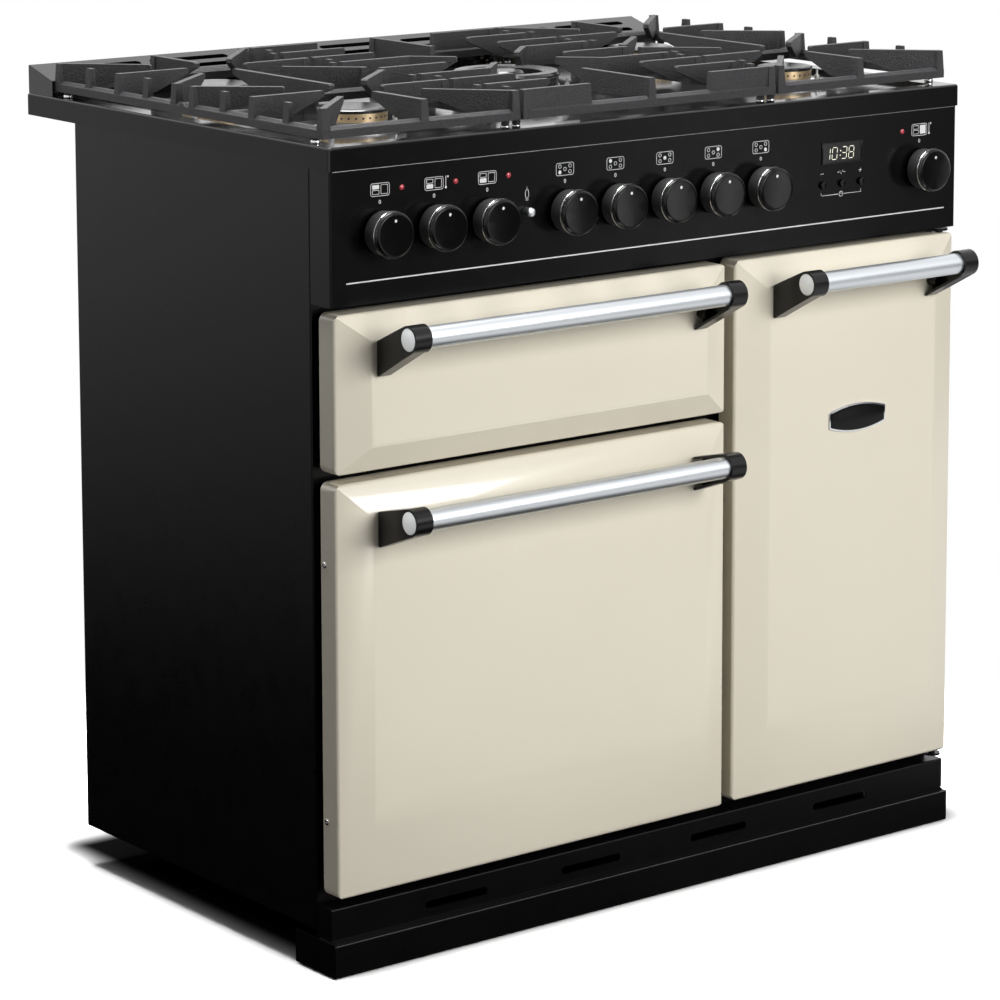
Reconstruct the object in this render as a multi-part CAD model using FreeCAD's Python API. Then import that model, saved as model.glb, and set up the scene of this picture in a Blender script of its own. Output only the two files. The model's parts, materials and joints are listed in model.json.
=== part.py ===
import FreeCAD, Part
import math
import os

# Free-standing 90 cm range cooker: gas hob, drop-down grill and main oven doors, side-hung tall oven.
# Millimetres. X runs right along the front, Y to the back, Z up. Sizes below count Y from the front edge
# of the hob; every piece is written with the origin on the floor in the middle of the whole.

V = FreeCAD.Vector
os.makedirs("parts", exist_ok=True)

# ---------------------------------------------------------------- driving dimensions
bodyWidth = 896.0          # over the side panels
hobOverhang = 2.0          # hob past each side panel
hobDepth = 606.0           # front to back of the hob
hobTop = 895.0             # height of the hob rim
hobBand = 25.0             # height of the hob's edge
panelHeight = 143.5        # control panel under the hob
bodyFront = 40.0           # front edge of the side panels
bodyBack = 505.0           # back of the body; the hob reaches further
bodyBottom = 47.0          # underside of the side panels
sheet = 1.5                # folded steel
panelFront = 2.0           # face of the control panel
doorFront = 2.0            # where a door's bevel starts
doorRise = 16.0            # how far the flat middle of a door stands forward
doorBack = 28.0            # back of a door's outer panel
doorRun = 0.3              # play between parts on different bodies
supportRise = 38.5         # pan level over the hob
railRise = 6.5             # underside of the supports' rails over the hob
railHeight = 12.0
knobRise = 74.5            # axis of the knobs over the foot of the panel
knobPitch = 70.4
burnerSpreadY = 134.0      # front and back burners to the middle
cavityDepth = 425.0
grillDepth = 400.0
doorSide = 3.0             # doors stop short of the side panels
grillDoorHeight = 170.5

bodyHalf = bodyWidth / 2
halfWidth = bodyHalf + hobOverhang
spread = bodyWidth / 896   # places along the panel and hob keep their share of the width
hobBottom = hobTop - hobBand
panelBottom = hobBottom - panelHeight
supportTop = hobTop + supportRise
supportRailBottom = hobTop + railRise
supportRailTop = supportRailBottom + railHeight
knobHeight = panelBottom + knobRise
burnerSpreadX = 312.0 * spread
frameFront = bodyFront - sheet


def doorway(x0, x1, z0, z1, bevelX, bevelZ, roll=0.0):
    # outline of a door with its bevels; roll is the height of a rolled lower end, which has no bevel
    return {"x0": x0, "x1": x1, "z0": z0, "z1": z1, "bevelX": bevelX, "bevelZ": bevelZ, "roll": roll}


def cavity(door, left, right, low, high, depth):
    # opening in the front frame behind a door, set in from the door's edges
    return {"x0": door["x0"] + left, "x1": door["x1"] - right, "z0": door["z0"] + low, "z1": door["z1"] - high,
            "depth": depth}


doorLeft = -bodyHalf + doorSide
doorRight = bodyHalf - doorSide
doorSplit = 92.0 * spread
doorGap = 14.0
doorRoll = 100.0           # the two large doors swell up from their lower edge over this height
grillTop = panelBottom - 8.0
grillBottom = grillTop - grillDoorHeight
grillDoor = doorway(doorLeft, doorSplit, grillBottom, grillTop, 40.0, 30.0)
mainDoor = doorway(doorLeft, doorSplit, 88.0, grillBottom - 10.0, 40.0, 38.0, doorRoll)
tallDoor = doorway(doorSplit + doorGap, doorRight, 90.0, panelBottom - 6.5, 42.0, 38.0, doorRoll)
grillCavity = cavity(grillDoor, 40.0, 39.0, 30.0, 18.5, grillDepth)
mainCavity = cavity(mainDoor, 40.0, 39.0, 30.0, 23.0, cavityDepth)
tallCavity = cavity(tallDoor, 29.0, 28.0, 28.0, 20.0, cavityDepth)

sealDepth = 5.0

# hinges of the drop-down doors: the pivot is inside the door, behind its lower edge
pivotY = 12.0
mainPivotZ = mainDoor["z0"] + 16.0
grillPivotZ = grillDoor["z0"] + 16.0
hingeInset = 64.0          # hinge arms to the door's ends
armHalfWidth = 3.0
armHalfHeight = 4.5
armEye = 7.5
hingePin = 3.5
pinPlay = 0.05             # running fit of pins and shafts
slotPlay = 0.6

# upright hinge of the tall door
tallPivotX = tallDoor["x1"] - 12.0
tallPin = 4.0

# handles
tubeRadius = 12.0
collarRadius = 15.0
collarLength = 21.0
armThickness = 17.0
armWall = 3.0
armCrease = 33.5           # the outer face leans in between this line and the door's flat
armLean = 1.6
footRound = 2.4
handleY = -71.0
footHeight = 39.0
handleEnds = 42.5          # the handle stops this far inside the door's edges
handles = {
    "grill": {"door": grillDoor, "tubeZ": grillDoor["z1"] - 19.5, "footZ": grillDoor["z1"] - 68.0},
    "main": {"door": mainDoor, "tubeZ": mainDoor["z1"] - 32.5, "footZ": mainDoor["z1"] - 69.5},
    "tall": {"door": tallDoor, "tubeZ": tallDoor["z1"] - 22.0, "footZ": tallDoor["z1"] - 69.5},
}

# knobs, left to right
pitch = knobPitch * spread
ovenKnobX = -384.5 * spread
middleKnobX = 2.8 * spread
knobX = {
    "knob_grill": ovenKnobX,
    "knob_main_temperature": ovenKnobX + pitch,
    "knob_main_function": ovenKnobX + 2 * pitch,
    "knob_burner_front_left": middleKnobX - 2 * pitch,
    "knob_burner_back_left": middleKnobX - pitch,
    "knob_burner_middle": middleKnobX,
    "knob_burner_back_right": middleKnobX + pitch,
    "knob_burner_front_right": middleKnobX + 2 * pitch,
    "knob_tall_temperature": 389.0 * spread,
}
gasKnobs = [name for name in knobX if "burner" in name]
knobGap = 4.3              # panel face to the back of a knob
knobLength = 29.0          # panel face to the front of a knob
knobRadius = 25.0
shaftRadius = 4.0
shaftHole = 5.0
lightX = -190.8 * spread
lightZ = knobHeight + 3.5
clockX = 267.2 * spread
clockHalf = 30.0
clockBottom = knobHeight + 17.5
clockTop = knobHeight + 40.5
clockButtonX = {"clock_button_minus": clockX - 30.2, "clock_button_mode": clockX - 0.7,
                "clock_button_plus": clockX + 28.8}
clockButtonZ = knobHeight - 7.0

originY = (hobDepth + handleY - collarRadius) / 2


# ---------------------------------------------------------------- shapes
def box(x0, x1, y0, y1, z0, z1):
    return Part.makeBox(x1 - x0, y1 - y0, z1 - z0, V(x0, y0, z0))


def rodX(x0, x1, y, z, r):
    return Part.makeCylinder(r, x1 - x0, V(x0, y, z), V(1, 0, 0))


def rodY(x, y0, y1, z, r):
    return Part.makeCylinder(r, y1 - y0, V(x, y0, z), V(0, 1, 0))


def rodZ(x, y, z0, z1, r):
    return Part.makeCylinder(r, z1 - z0, V(x, y, z0), V(0, 0, 1))


def join(shapes):
    return shapes[0].multiFuse(shapes[1:]).removeSplitter() if len(shapes) > 1 else shapes[0]


def group(shapes):
    return Part.makeCompound(shapes)


def face(points):
    return Part.Face(Part.makePolygon(points + [points[0]]))


def alongX(points, x0, x1):
    # closed outline of (y, z) points, drawn out along X
    return face([V(x0, y, z) for y, z in points]).extrude(V(x1 - x0, 0, 0))


def alongZ(points, z0, z1):
    return face([V(x, y, z0) for x, y in points]).extrude(V(0, 0, z1 - z0))


def roundRect(a0, a1, b0, b1, r, place):
    # wire of a rectangle with round corners; place turns (a, b) into a point
    c = r * (1 - math.sqrt(0.5))
    edges = []
    corners = [
        ((a1 - r, b0), (a1 - c, b0 + c), (a1, b0 + r)),
        ((a1, b1 - r), (a1 - c, b1 - c), (a1 - r, b1)),
        ((a0 + r, b1), (a0 + c, b1 - c), (a0, b1 - r)),
        ((a0, b0 + r), (a0 + c, b0 + c), (a0 + r, b0)),
    ]
    for i, corner in enumerate(corners):
        start = corners[i - 1][2]
        edges.append(Part.LineSegment(place(*start), place(*corner[0])).toShape())
        edges.append(Part.Arc(place(*corner[0]), place(*corner[1]), place(*corner[2])).toShape())
    return Part.Wire(edges)


def frontRect(x0, x1, z0, z1, r, y):
    return roundRect(x0, x1, z0, z1, r, lambda a, b: V(a, y, b))


def frontPlate(x0, x1, z0, z1, r, y0, y1):
    return Part.Face(frontRect(x0, x1, z0, z1, r, y0)).extrude(V(0, y1 - y0, 0))


def flatPlate(x0, x1, y0, y1, r, z0, z1):
    wire = roundRect(x0, x1, y0, y1, r, lambda a, b: V(a, b, z0))
    return Part.Face(wire).extrude(V(0, 0, z1 - z0))


def turned(points, centre, axis):
    # solid of revolution: (radius, distance along axis) points about a line through centre
    side = V(1, 0, 0) if abs(axis.x) < 0.5 else V(0, 1, 0)
    outline = face([centre + side * r + axis * d for r, d in points])
    return outline.revolve(centre, axis, 360)


def filleted(shape, radius, keep):
    edges = [e for e in shape.Edges if keep(e)]
    return shape.makeFillet(radius, edges)


def save(name, shape):
    shape.translate(V(0, -originY, 0))
    shape.exportStep("parts/" + name + ".step")
    print(name, "solids", len(shape.Solids), "volume", round(shape.Volume), "valid", shape.isValid())


# ---------------------------------------------------------------- body
def sidePanel(side):
    # one flat sheet with its front and back edges folded inwards
    outer = side * bodyHalf
    inner = side * (bodyHalf - sheet)
    fold = side * (bodyHalf - 22)
    outline = [
        (fold, bodyFront), (outer, bodyFront), (outer, bodyBack), (fold, bodyBack),
        (fold, bodyBack - sheet), (inner, bodyBack - sheet), (inner, bodyFront + sheet),
        (fold, bodyFront + sheet),
    ]
    panel = alongZ(outline, bodyBottom, hobBottom)
    return filleted(panel, 1.2, lambda e: isUpright(e) and abs(abs(e.CenterOfMass.x) - bodyHalf) < 0.1)


def isUpright(edge):
    b = edge.BoundBox
    return b.ZLength > 5 and b.XLength < 0.01 and b.YLength < 0.01


def backPanel():
    half = bodyHalf - sheet - 0.2
    y1 = bodyBack - sheet
    plate = box(-half, half, y1 - sheet, y1, bodyBottom + sheet, hobBottom)
    cuts = []
    for row in (0, 1):
        for i in range(9):
            x = (i - 4) * 84.0 * spread
            z = hobBottom - 100 - row * 24
            cuts.append(frontPlate(x - 28, x + 28, z - 4, z + 4, 3.9, y1 - 4, y1 + 2))
    swages = [box(x - 6, x + 6, y1 - sheet - 3, y1 - sheet, bodyBottom + 73, hobBottom - 170)
              for x in (-300 * spread, 0, 300 * spread)]
    return join([plate.cut(group(cuts))] + swages)


footX = bodyHalf - 53.0
footY = 82.0
rollerX = 250.0 * spread
rollerY = 455.0
rollerRadius = 20.0
rollerPin = 4.0
footStem = 5.0


def baseTray():
    # floor of the body with turned-up edges, foot bushes and roller forks
    half = bodyHalf - sheet - 0.2
    y0 = bodyFront + sheet
    y1 = bodyBack - 2 * sheet - 3.0
    floor = box(-half, half, y0, y1, bodyBottom, bodyBottom + 22)
    floor = floor.cut(box(-half + 2, half - 2, y0 + 2, y1 - 2, bodyBottom + 2, bodyBottom + 30))
    parts = [floor]
    for side in (-1, 1):
        parts.append(rodZ(side * footX, footY, 32, bodyBottom + 1, 9))
        for cheek in (-13.0, 10.0):
            x = side * rollerX + cheek
            outline = [(rollerY - 22, bodyBottom + 1), (rollerY - 9, 11), (rollerY + 9, 11),
                       (rollerY + 22, bodyBottom + 1)]
            parts.append(alongX(outline, x, x + 3))
        parts.append(rodX(side * rollerX - 15, side * rollerX + 15, rollerY, rollerRadius, rollerPin))
    tray = join(parts)
    stems = [rodZ(side * footX, footY, 20, 90, footStem + pinPlay) for side in (-1, 1)]
    return tray.cut(group(stems))


def frontFeet():
    feet = []
    for side in (-1, 1):
        pad = [(0, 0), (18, 0), (18, 4), (12, 9), (8, 9), (8, 17), (0, 17)]
        foot = turned(pad, V(side * footX, footY, 0), V(0, 0, 1))
        feet.append(foot.fuse(rodZ(side * footX, footY, 16, 84, footStem)))
    return group(feet)


def rearRollers():
    wheels = []
    for side in (-1, 1):
        profile = [(rollerPin + pinPlay, -9.4), (9, -9.4), (9, -7.5), (18, -7.5), (rollerRadius, -5.5),
                   (rollerRadius, 5.5), (18, 7.5), (9, 7.5), (9, 9.4), (rollerPin + pinPlay, 9.4)]
        wheels.append(turned(profile, V(side * rollerX, rollerY, rollerRadius), V(1, 0, 0)))
    return group(wheels)


kickBottom = 2.0
kickTop = 38.0
lipTop = 40.5
ventTop = 76.0
ventFront = 10.0
kickFront = 2.0
kickBack = 77.0


def plinthKickboard():
    # lower plinth: front board with a return along each side and a lip that steps back to the vent bar
    half = bodyHalf + 1
    board = box(-half, half, kickFront, kickBack, kickBottom, kickTop)
    board = filleted(board, 2.0, lambda e: e.BoundBox.XLength > 100 and e.CenterOfMass.y < 10
                     and e.CenterOfMass.z > 10)
    board = board.fuse(box(-half + 3, half - 3, kickFront + 5, 36, kickTop - 2, lipTop))
    board = board.cut(box(-half + 2, half - 2, kickFront + 2, kickBack + 1, 0, kickTop - 2))
    return board.cut(box(-half + 2, half - 2, 36, kickBack + 1, 0, lipTop + 1))


def plinthVentBar():
    half = bodyHalf
    bar = box(-half, half, ventFront, frameFront, lipTop, ventTop)
    bar = filleted(bar, 2.0, lambda e: e.BoundBox.XLength > 100 and e.CenterOfMass.y < 12
                   and e.CenterOfMass.z > 60)
    bar = bar.cut(box(-half + 2, half - 2, ventFront + 2, frameFront + 1, 0, ventTop - 2))
    slots = []
    for i in range(4):
        x = (i - 1.5) * 188.0 * spread
        slots.append(frontPlate(x - 42, x + 42, 50.5, 59.5, 4.4, ventFront - 1, ventFront + 3))
    return bar.cut(group(slots))


def hingeArm(x, z):
    eye = rodX(x - armHalfWidth, x + armHalfWidth, pivotY, z, armEye)
    arm = box(x - armHalfWidth, x + armHalfWidth, pivotY, frameFront + 0.5, z - armHalfHeight,
              z + armHalfHeight)
    bore = rodX(x - 10, x + 10, pivotY, z, hingePin + pinPlay)
    return eye.fuse(arm).cut(bore)


def hingePlaces(door, z):
    return [(door["x0"] + hingeInset, z), (door["x1"] - hingeInset, z)]


tallPlateTop = tallDoor["z1"] + 2.2       # underside of the upper hinge plate
tallPlateBottom = tallDoor["z0"] - 3.5    # upper face of the lower hinge plate
tallPinReach = 24.0                       # pins into the door
tallBushNear = 11.0
tallBushFar = 21.0


def tallHingePlate(z0, z1, pin0, pin1):
    plate = box(tallPivotX - 10, tallPivotX + 10, pivotY - 2, frameFront + 0.5, z0, z1)
    nose = rodZ(tallPivotX, pivotY, z0, z1, 10)
    return [plate, nose, rodZ(tallPivotX, pivotY, pin0, pin1, tallPin)]


def frontFrame():
    # face of the body behind the doors, with the three openings and all hinge arms
    half = bodyHalf - 1
    plate = box(-half, half, frameFront, bodyFront, ventTop, hobBottom)
    plate = plate.cut(box(-half + 18, half - 18, frameFront - 1, bodyFront + 1, panelBottom + 12, hobBottom - 8))
    for c in (grillCavity, mainCavity, tallCavity):
        plate = plate.cut(frontPlate(c["x0"], c["x1"], c["z0"], c["z1"], 12, frameFront - 1, bodyFront + 1))
    parts = [plate]
    for x, z in hingePlaces(mainDoor, mainPivotZ) + hingePlaces(grillDoor, grillPivotZ):
        parts.append(hingeArm(x, z))
    parts += tallHingePlate(tallPlateTop, tallPlateTop + 2.5, tallDoor["z1"] - tallPinReach, tallPlateTop + 1)
    parts += tallHingePlate(tallPlateBottom - 2.5, tallPlateBottom, tallPlateBottom - 1,
                            tallDoor["z0"] + tallPinReach)
    return join(parts)


def doorSeals():
    rings = []
    for c in (grillCavity, mainCavity, tallCavity):
        y0 = frameFront - sealDepth
        outer = frontPlate(c["x0"] - 5, c["x1"] + 5, c["z0"] - 5, c["z1"] + 5, 16, y0, frameFront)
        inner = frontPlate(c["x0"], c["x1"], c["z0"], c["z1"], 12, y0 - 1, frameFront + 1)
        rings.append(outer.cut(inner))
    return group(rings)


# ---------------------------------------------------------------- cavities
def liner(c, radius):
    t = 1.2
    y1 = bodyFront + c["depth"]
    outer = frontPlate(c["x0"] - t, c["x1"] + t, c["z0"] - t, c["z1"] + t, radius + t, bodyFront, y1)
    inner = frontPlate(c["x0"], c["x1"], c["z0"], c["z1"], radius, bodyFront - 1, y1 - t)
    return outer.cut(inner)


def fanCover(x, z, back, radius):
    # pressed cover on the back wall, with an intake grille in the middle and side outlets
    deep = 22.0
    y0 = back - deep
    outline = [(0, 0), (radius - 12, 0), (radius, 12), (radius, deep + 0.5), (radius - 1.5, deep + 0.5),
               (radius - 1.5, 12.6), (radius - 12.6, 1.5), (0, 1.5)]
    cover = turned(outline, V(x, y0, z), V(0, 1, 0))
    cuts = []
    for i in range(7):
        h = (i - 3) * 9.0
        half = math.sqrt(38.0 ** 2 - h * h)
        cuts.append(box(x - half, x + half, y0 - 1, y0 + 6, z + h - 2.5, z + h + 2.5))
    for turn in range(0, 360, 45):
        slot = box(radius - 8, radius + 2, y0 + 14, y0 + 18, -12, 12)
        slot.rotate(V(0, 0, 0), V(0, 1, 0), turn)
        slot.translate(V(x, 0, z))
        cuts.append(slot)
    return cover.cut(group(cuts))


def mainOvenLiner():
    c = mainCavity
    back = bodyFront + c["depth"] - 1.2
    x = (c["x0"] + c["x1"]) / 2
    z = (c["z0"] + c["z1"]) / 2
    return join([liner(c, 20), fanCover(x, z, back, 95)])


def tallOvenLiner():
    c = tallCavity
    back = bodyFront + c["depth"] - 1.2
    x = (c["x0"] + c["x1"]) / 2
    covers = [fanCover(x, z, back, 80) for z in (c["z0"] + 172, c["z1"] - 170)]
    return join([liner(c, 20)] + covers)


carriageZ = grillCavity["z0"] + 26.0


def grillChamber():
    # box liner with a ledge along each side for the carriage
    c = grillCavity
    parts = [liner(c, 12)]
    for x0, x1 in ((c["x0"] - 0.5, c["x0"] + 14), (c["x1"] - 14, c["x1"] + 0.5)):
        parts.append(box(x0, x1, bodyFront + 8, bodyFront + c["depth"] - 20, carriageZ - 6, carriageZ - 4))
    return join(parts)


def grillElement():
    # hairpin heating rod under the chamber roof: straight runs joined by half rings
    z = grillCavity["z1"] - 16
    y0 = 110.0
    step = 44.0
    runs = 6
    x0 = grillCavity["x0"] + 35
    x1 = grillCavity["x1"] - 35
    parts = []
    for i in range(runs):
        parts.append(rodX(x0, x1, y0 + i * step, z, 3.5))
    for i in range(runs - 1):
        side = i % 2
        x = x1 if side == 0 else x0
        bend = Part.makeTorus(step / 2, 3.5, V(x, y0 + (i + 0.5) * step, z), V(0, 0, 1), -180, 180, 180)
        bend.rotate(V(x, y0 + (i + 0.5) * step, z), V(0, 0, 1), -90 if side == 0 else 90)
        parts.append(bend)
    tail = y0 + (runs - 1) * step
    parts.append(rodY(x0, y0, bodyFront + grillCavity["depth"] - 1.2, z, 3.5).cut(
        box(x0 - 5, x0 + 5, y0 + 5, tail - 5, z - 5, z + 5)))
    hangers = [box(x - 1, x + 1, y0 - 8, tail + 8, z + 3.2, z + 16) for x in (x0 + 90, x1 - 88)]
    return join(parts + hangers)


def wireLadder(x, inward, c, levels):
    # side rack: two uprights by the wall and pairs of runner wires on their inner side
    y0 = bodyFront + 18
    y1 = bodyFront + c["depth"] - 40
    wires = [rodZ(x, y, levels[0] - 24, levels[-1] + 30, 2.5) for y in (y0 + 30, y1 - 30)]
    for z in levels:
        wires.append(rodY(x + inward * runnerOffset, y0, y1, z, 2.0))
        wires.append(rodY(x + inward * runnerOffset, y0, y1, z + 14, 2.0))
    return join(wires)


mainLevels = [mainCavity["z0"] + 52.0 + 60.0 * i for i in range(5)]
tallLevels = [tallCavity["z0"] + 62.0 + 70.0 * i for i in range(7)]
ladderInset = 7.0
runnerOffset = 4.3
shelfInset = 14.5


def shelfRacks():
    racks = []
    for c, levels in ((mainCavity, mainLevels), (tallCavity, tallLevels)):
        racks.append(wireLadder(c["x0"] + ladderInset, 1, c, levels))
        racks.append(wireLadder(c["x1"] - ladderInset, -1, c, levels))
    return group(racks)


def wireShelf(c, level, rods):
    # shelf between two runner wires: frame, cross bar and a row of rods, turned up at the back
    x0 = c["x0"] + shelfInset
    x1 = c["x1"] - shelfInset
    y0 = bodyFront + 22
    y1 = bodyFront + c["depth"] - 50
    z = level + 4.2
    wires = [rodY(x0, y0, y1, z, 3.0), rodY(x1, y0, y1, z, 3.0), rodX(x0, x1, y0, z, 3.0)]
    wires += [rodX(x0, x1, y1, z, 3.0), rodX(x0, x1, (y0 + y1) / 2, z, 2.5)]
    for i in range(1, rods):
        x = x0 + (x1 - x0) * i / rods
        wires.append(rodY(x, y0, y1, z + 3.5, 1.6))
    return join(wires)


def grillCarriage():
    # wire cradle that carries the grill pan on the chamber ledges
    c = grillCavity
    x0 = c["x0"] + 7
    x1 = c["x1"] - 7
    y0 = bodyFront + 16
    y1 = bodyFront + c["depth"] - 50
    z = carriageZ - 0.8
    wires = [rodY(x, y0 - 4, y1 + 4, z, 3.0) for x in (x0, x1)]
    wires += [rodX(x0, x1, y, z, 2.5) for y in (y0, (y0 + y1) / 2, y1)]
    return join(wires)


panInset = 26.0
panBase = carriageZ + 2.6
panDepth = 28.0


def grillPan():
    c = grillCavity
    x0 = c["x0"] + panInset
    x1 = c["x1"] - panInset
    y0 = bodyFront + 26
    y1 = bodyFront + c["depth"] - 66
    rim = 9.0
    body = flatPlate(x0 + rim, x1 - rim, y0 + rim, y1 - rim, 24, panBase, panBase + panDepth)
    lip = flatPlate(x0, x1, y0, y1, 30, panBase + panDepth - 2, panBase + panDepth)
    well = flatPlate(x0 + rim + 2, x1 - rim - 2, y0 + rim + 2, y1 - rim - 2, 22, panBase + 2,
                     panBase + panDepth + 1)
    return body.fuse(lip).cut(well)


def grillTrivet():
    c = grillCavity
    x0 = c["x0"] + panInset + 24
    x1 = c["x1"] - panInset - 24
    y0 = bodyFront + 54
    y1 = bodyFront + c["depth"] - 94
    z = panBase + 17
    wires = [rodX(x0, x1, y, z, 2.5) for y in (y0, (y0 + y1) / 2, y1)]
    wires += [rodY(x, y0, y1, z, 2.5) for x in (x0, x1)]
    for i in range(1, 14):
        wires.append(rodY(x0 + (x1 - x0) * i / 14, y0, y1, z + 3, 1.6))
    for x in (x0, x1):
        for y in (y0, y1):
            wires.append(rodZ(x, y, panBase + 2.2, z, 2.5))
    return join(wires)


# ---------------------------------------------------------------- hob
supportFront = 19.5        # pan supports
supportBack = hobDepth - 53.5
burnerMiddleY = (supportFront + supportBack) / 2
burners = {
    "front_left": {"x": -burnerSpreadX, "y": burnerMiddleY - burnerSpreadY, "r": 38.5},
    "back_left": {"x": -burnerSpreadX, "y": burnerMiddleY + burnerSpreadY, "r": 39.0},
    "back_right": {"x": burnerSpreadX, "y": burnerMiddleY + burnerSpreadY, "r": 39.0},
    "front_right": {"x": burnerSpreadX, "y": burnerMiddleY - burnerSpreadY, "r": 32.0},
}
wokRadius = 62.0
wellFloor = hobTop - 8.0
ringBase = 12.0            # port rings of the four side burners over the wells
wokRingBase = 15.0
ringHeight = 10.0
capHeight = 5.0
wokCapHeight = 6.0
wellRadius = 84.0
wokWellRadius = 104.0
hobFloor = hobTop - 5.0
hobSheet = 2.0
hobCorner = 3.0
recessHalf = halfWidth - 25.0
recessFront = 20.0
recessBack = hobDepth - 58.0


def dish(x, y, radius, floor):
    return turned([(0, 0), (radius - 9, 0), (radius, hobTop - floor + 1), (0, hobTop - floor + 1)],
                  V(x, y, floor), V(0, 0, 1))


def hobRecess(grow):
    # the sunk floor of the hob with a round well under each burner, grown for its underside
    x = recessHalf + grow
    parts = [flatPlate(-x, x, recessFront - grow, recessBack + grow, 15 + grow, hobFloor - grow, hobTop + 1)]
    for b in burners.values():
        parts.append(dish(b["x"], b["y"], wellRadius + grow, wellFloor - grow))
    parts.append(dish(0, burnerMiddleY, wokWellRadius + grow, wellFloor - grow))
    return group(parts)


def hobTray():
    slab = flatPlate(-halfWidth, halfWidth, 0, hobDepth, hobCorner, hobBottom, hobTop)
    slab = filleted(slab, 2.9, lambda e: e.CenterOfMass.z > hobTop - 0.1)
    hollow = box(-halfWidth + hobSheet, halfWidth - hobSheet, hobSheet, hobDepth - hobSheet, hobBottom - 1,
                 hobTop - hobSheet)
    for form in hobRecess(hobSheet).Solids:
        hollow = hollow.cut(form)
    slab = slab.cut(hollow)
    for form in hobRecess(0.0).Solids:
        slab = slab.cut(form)
    return slab


upstandHalf = bodyHalf - 0.5
upstandFoot = hobDepth - 53.0
upstandStep = hobTop + 18.0
upstandTop = hobTop + 33.0


def rearUpstand():
    # hollow back rail: a short upright face, then a slope with two rows of long outlet slots
    outline = [(upstandFoot, hobTop), (upstandFoot, upstandStep), (hobDepth - 1, upstandTop),
               (hobDepth - 1, hobTop)]
    solid = alongX(outline, -upstandHalf, upstandHalf)
    solid = filleted(solid, 2.0, lambda e: e.BoundBox.XLength > 100 and e.CenterOfMass.z > hobTop + 5)
    hollow = [(upstandFoot + 2, hobTop - 1), (upstandFoot + 2, upstandStep - 1.6),
              (hobDepth - 3, upstandTop - 2.3), (hobDepth - 3, hobTop - 1)]
    solid = solid.cut(alongX(hollow, -upstandHalf + 2, upstandHalf - 2))
    run = hobDepth - 1 - upstandFoot
    rise = upstandTop - upstandStep
    tilt = math.degrees(math.atan2(rise, run))
    slots = []
    for row in (12.0, 33.0):
        for i in range(7):
            x = (i - 3) * 121.0 * spread
            slot = flatPlate(x - 54, x + 54, row - 5.5, row + 5.5, 5.4, -6, 6)
            slot.rotate(V(0, 0, 0), V(1, 0, 0), tilt)
            slot.translate(V(0, upstandFoot, upstandStep))
            slots.append(slot)
    return solid.cut(group(slots))


def burnerBodies():
    bodies = []
    for b in burners.values():
        r = b["r"]
        profile = [(0, 0), (r + 12, 0), (r + 12, 2.5), (r + 3, 4.5), (r - 2, 7), (r - 1, ringBase), (0, ringBase)]
        bodies.append(turned(profile, V(b["x"], b["y"], wellFloor), V(0, 0, 1)))
    profile = [(0, 0), (wokRadius + 16, 0), (wokRadius + 16, 2.5), (wokRadius + 5, 6),
               (wokRadius, wokRingBase), (0, wokRingBase)]
    bodies.append(turned(profile, V(0, burnerMiddleY, wellFloor), V(0, 0, 1)))
    pins = []
    for b in list(burners.values()) + [{"x": 0.0, "y": burnerMiddleY, "r": wokRadius + 3}]:
        for turn, high in ((205, 24.0), (335, 20.0)):
            a = math.radians(turn)
            x = b["x"] + (b["r"] + 8) * math.cos(a)
            y = b["y"] + (b["r"] + 8) * math.sin(a)
            pins.append(rodZ(x, y, wellFloor + 1, wellFloor + high - 6, 3.0))
            pins.append(rodZ(x, y, wellFloor + high - 6.5, wellFloor + high, 1.4))
    return group([join([body] + pins[4 * i:4 * i + 4]) for i, body in enumerate(bodies)])


def burnerPortRings():
    rings = []
    for b in burners.values():
        r = b["r"]
        profile = [(r - 8, 0), (r - 1.5, 0), (r - 0.5, 1), (r - 0.5, ringHeight), (r - 8, ringHeight)]
        rings.append(turned(profile, V(b["x"], b["y"], wellFloor + ringBase), V(0, 0, 1)))
    for r, hole in ((wokRadius, wokRadius - 18), (20.0, 12.0)):
        profile = [(hole, 0), (r - 2, 0), (r - 1, 1), (r - 1, ringHeight), (hole, ringHeight)]
        rings.append(turned(profile, V(0, burnerMiddleY, wellFloor + wokRingBase), V(0, 0, 1)))
    return group(rings)


def burnerCaps():
    caps = []
    for b in burners.values():
        r = b["r"]
        profile = [(0, 0), (r, 0), (r + 1, 0.9), (r + 1, 3.2), (r - 0.5, 4.2), (r - 6, capHeight), (0, capHeight)]
        caps.append(turned(profile, V(b["x"], b["y"], wellFloor + ringBase + ringHeight), V(0, 0, 1)))
    r = wokRadius
    high = wokCapHeight
    base = V(0, burnerMiddleY, wellFloor + wokRingBase + ringHeight)
    profile = [(r - 20, 0), (r, 0), (r + 1, 1.2), (r + 1, 3), (r - 2, high), (r - 16, high), (r - 20, high - 2)]
    caps.append(turned(profile, base, V(0, 0, 1)))
    profile = [(0, 0), (20, 0), (21, 1.2), (21, 3), (18, high), (0, high)]
    caps.append(turned(profile, base, V(0, 0, 1)))
    return group(caps)


# ---------------------------------------------------------------- cast pan supports
railWidth = 11.0
railEase = 3.5
blade = 7.0
supportGap = 4.0
supportOuter = halfWidth - 5.5
supportInner = 181.0 * spread
footInset = 20.0
rootDepth = 24.0
tipDepth = 6.0
bentOffset = 76.0          # bent fingers to the middle of the large burner
bluntEnd = 85.5            # inner ends of the blades that stand on the middle support's end rails
bluntReach = 142.0         # ends of its blades before and behind the large burner


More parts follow.
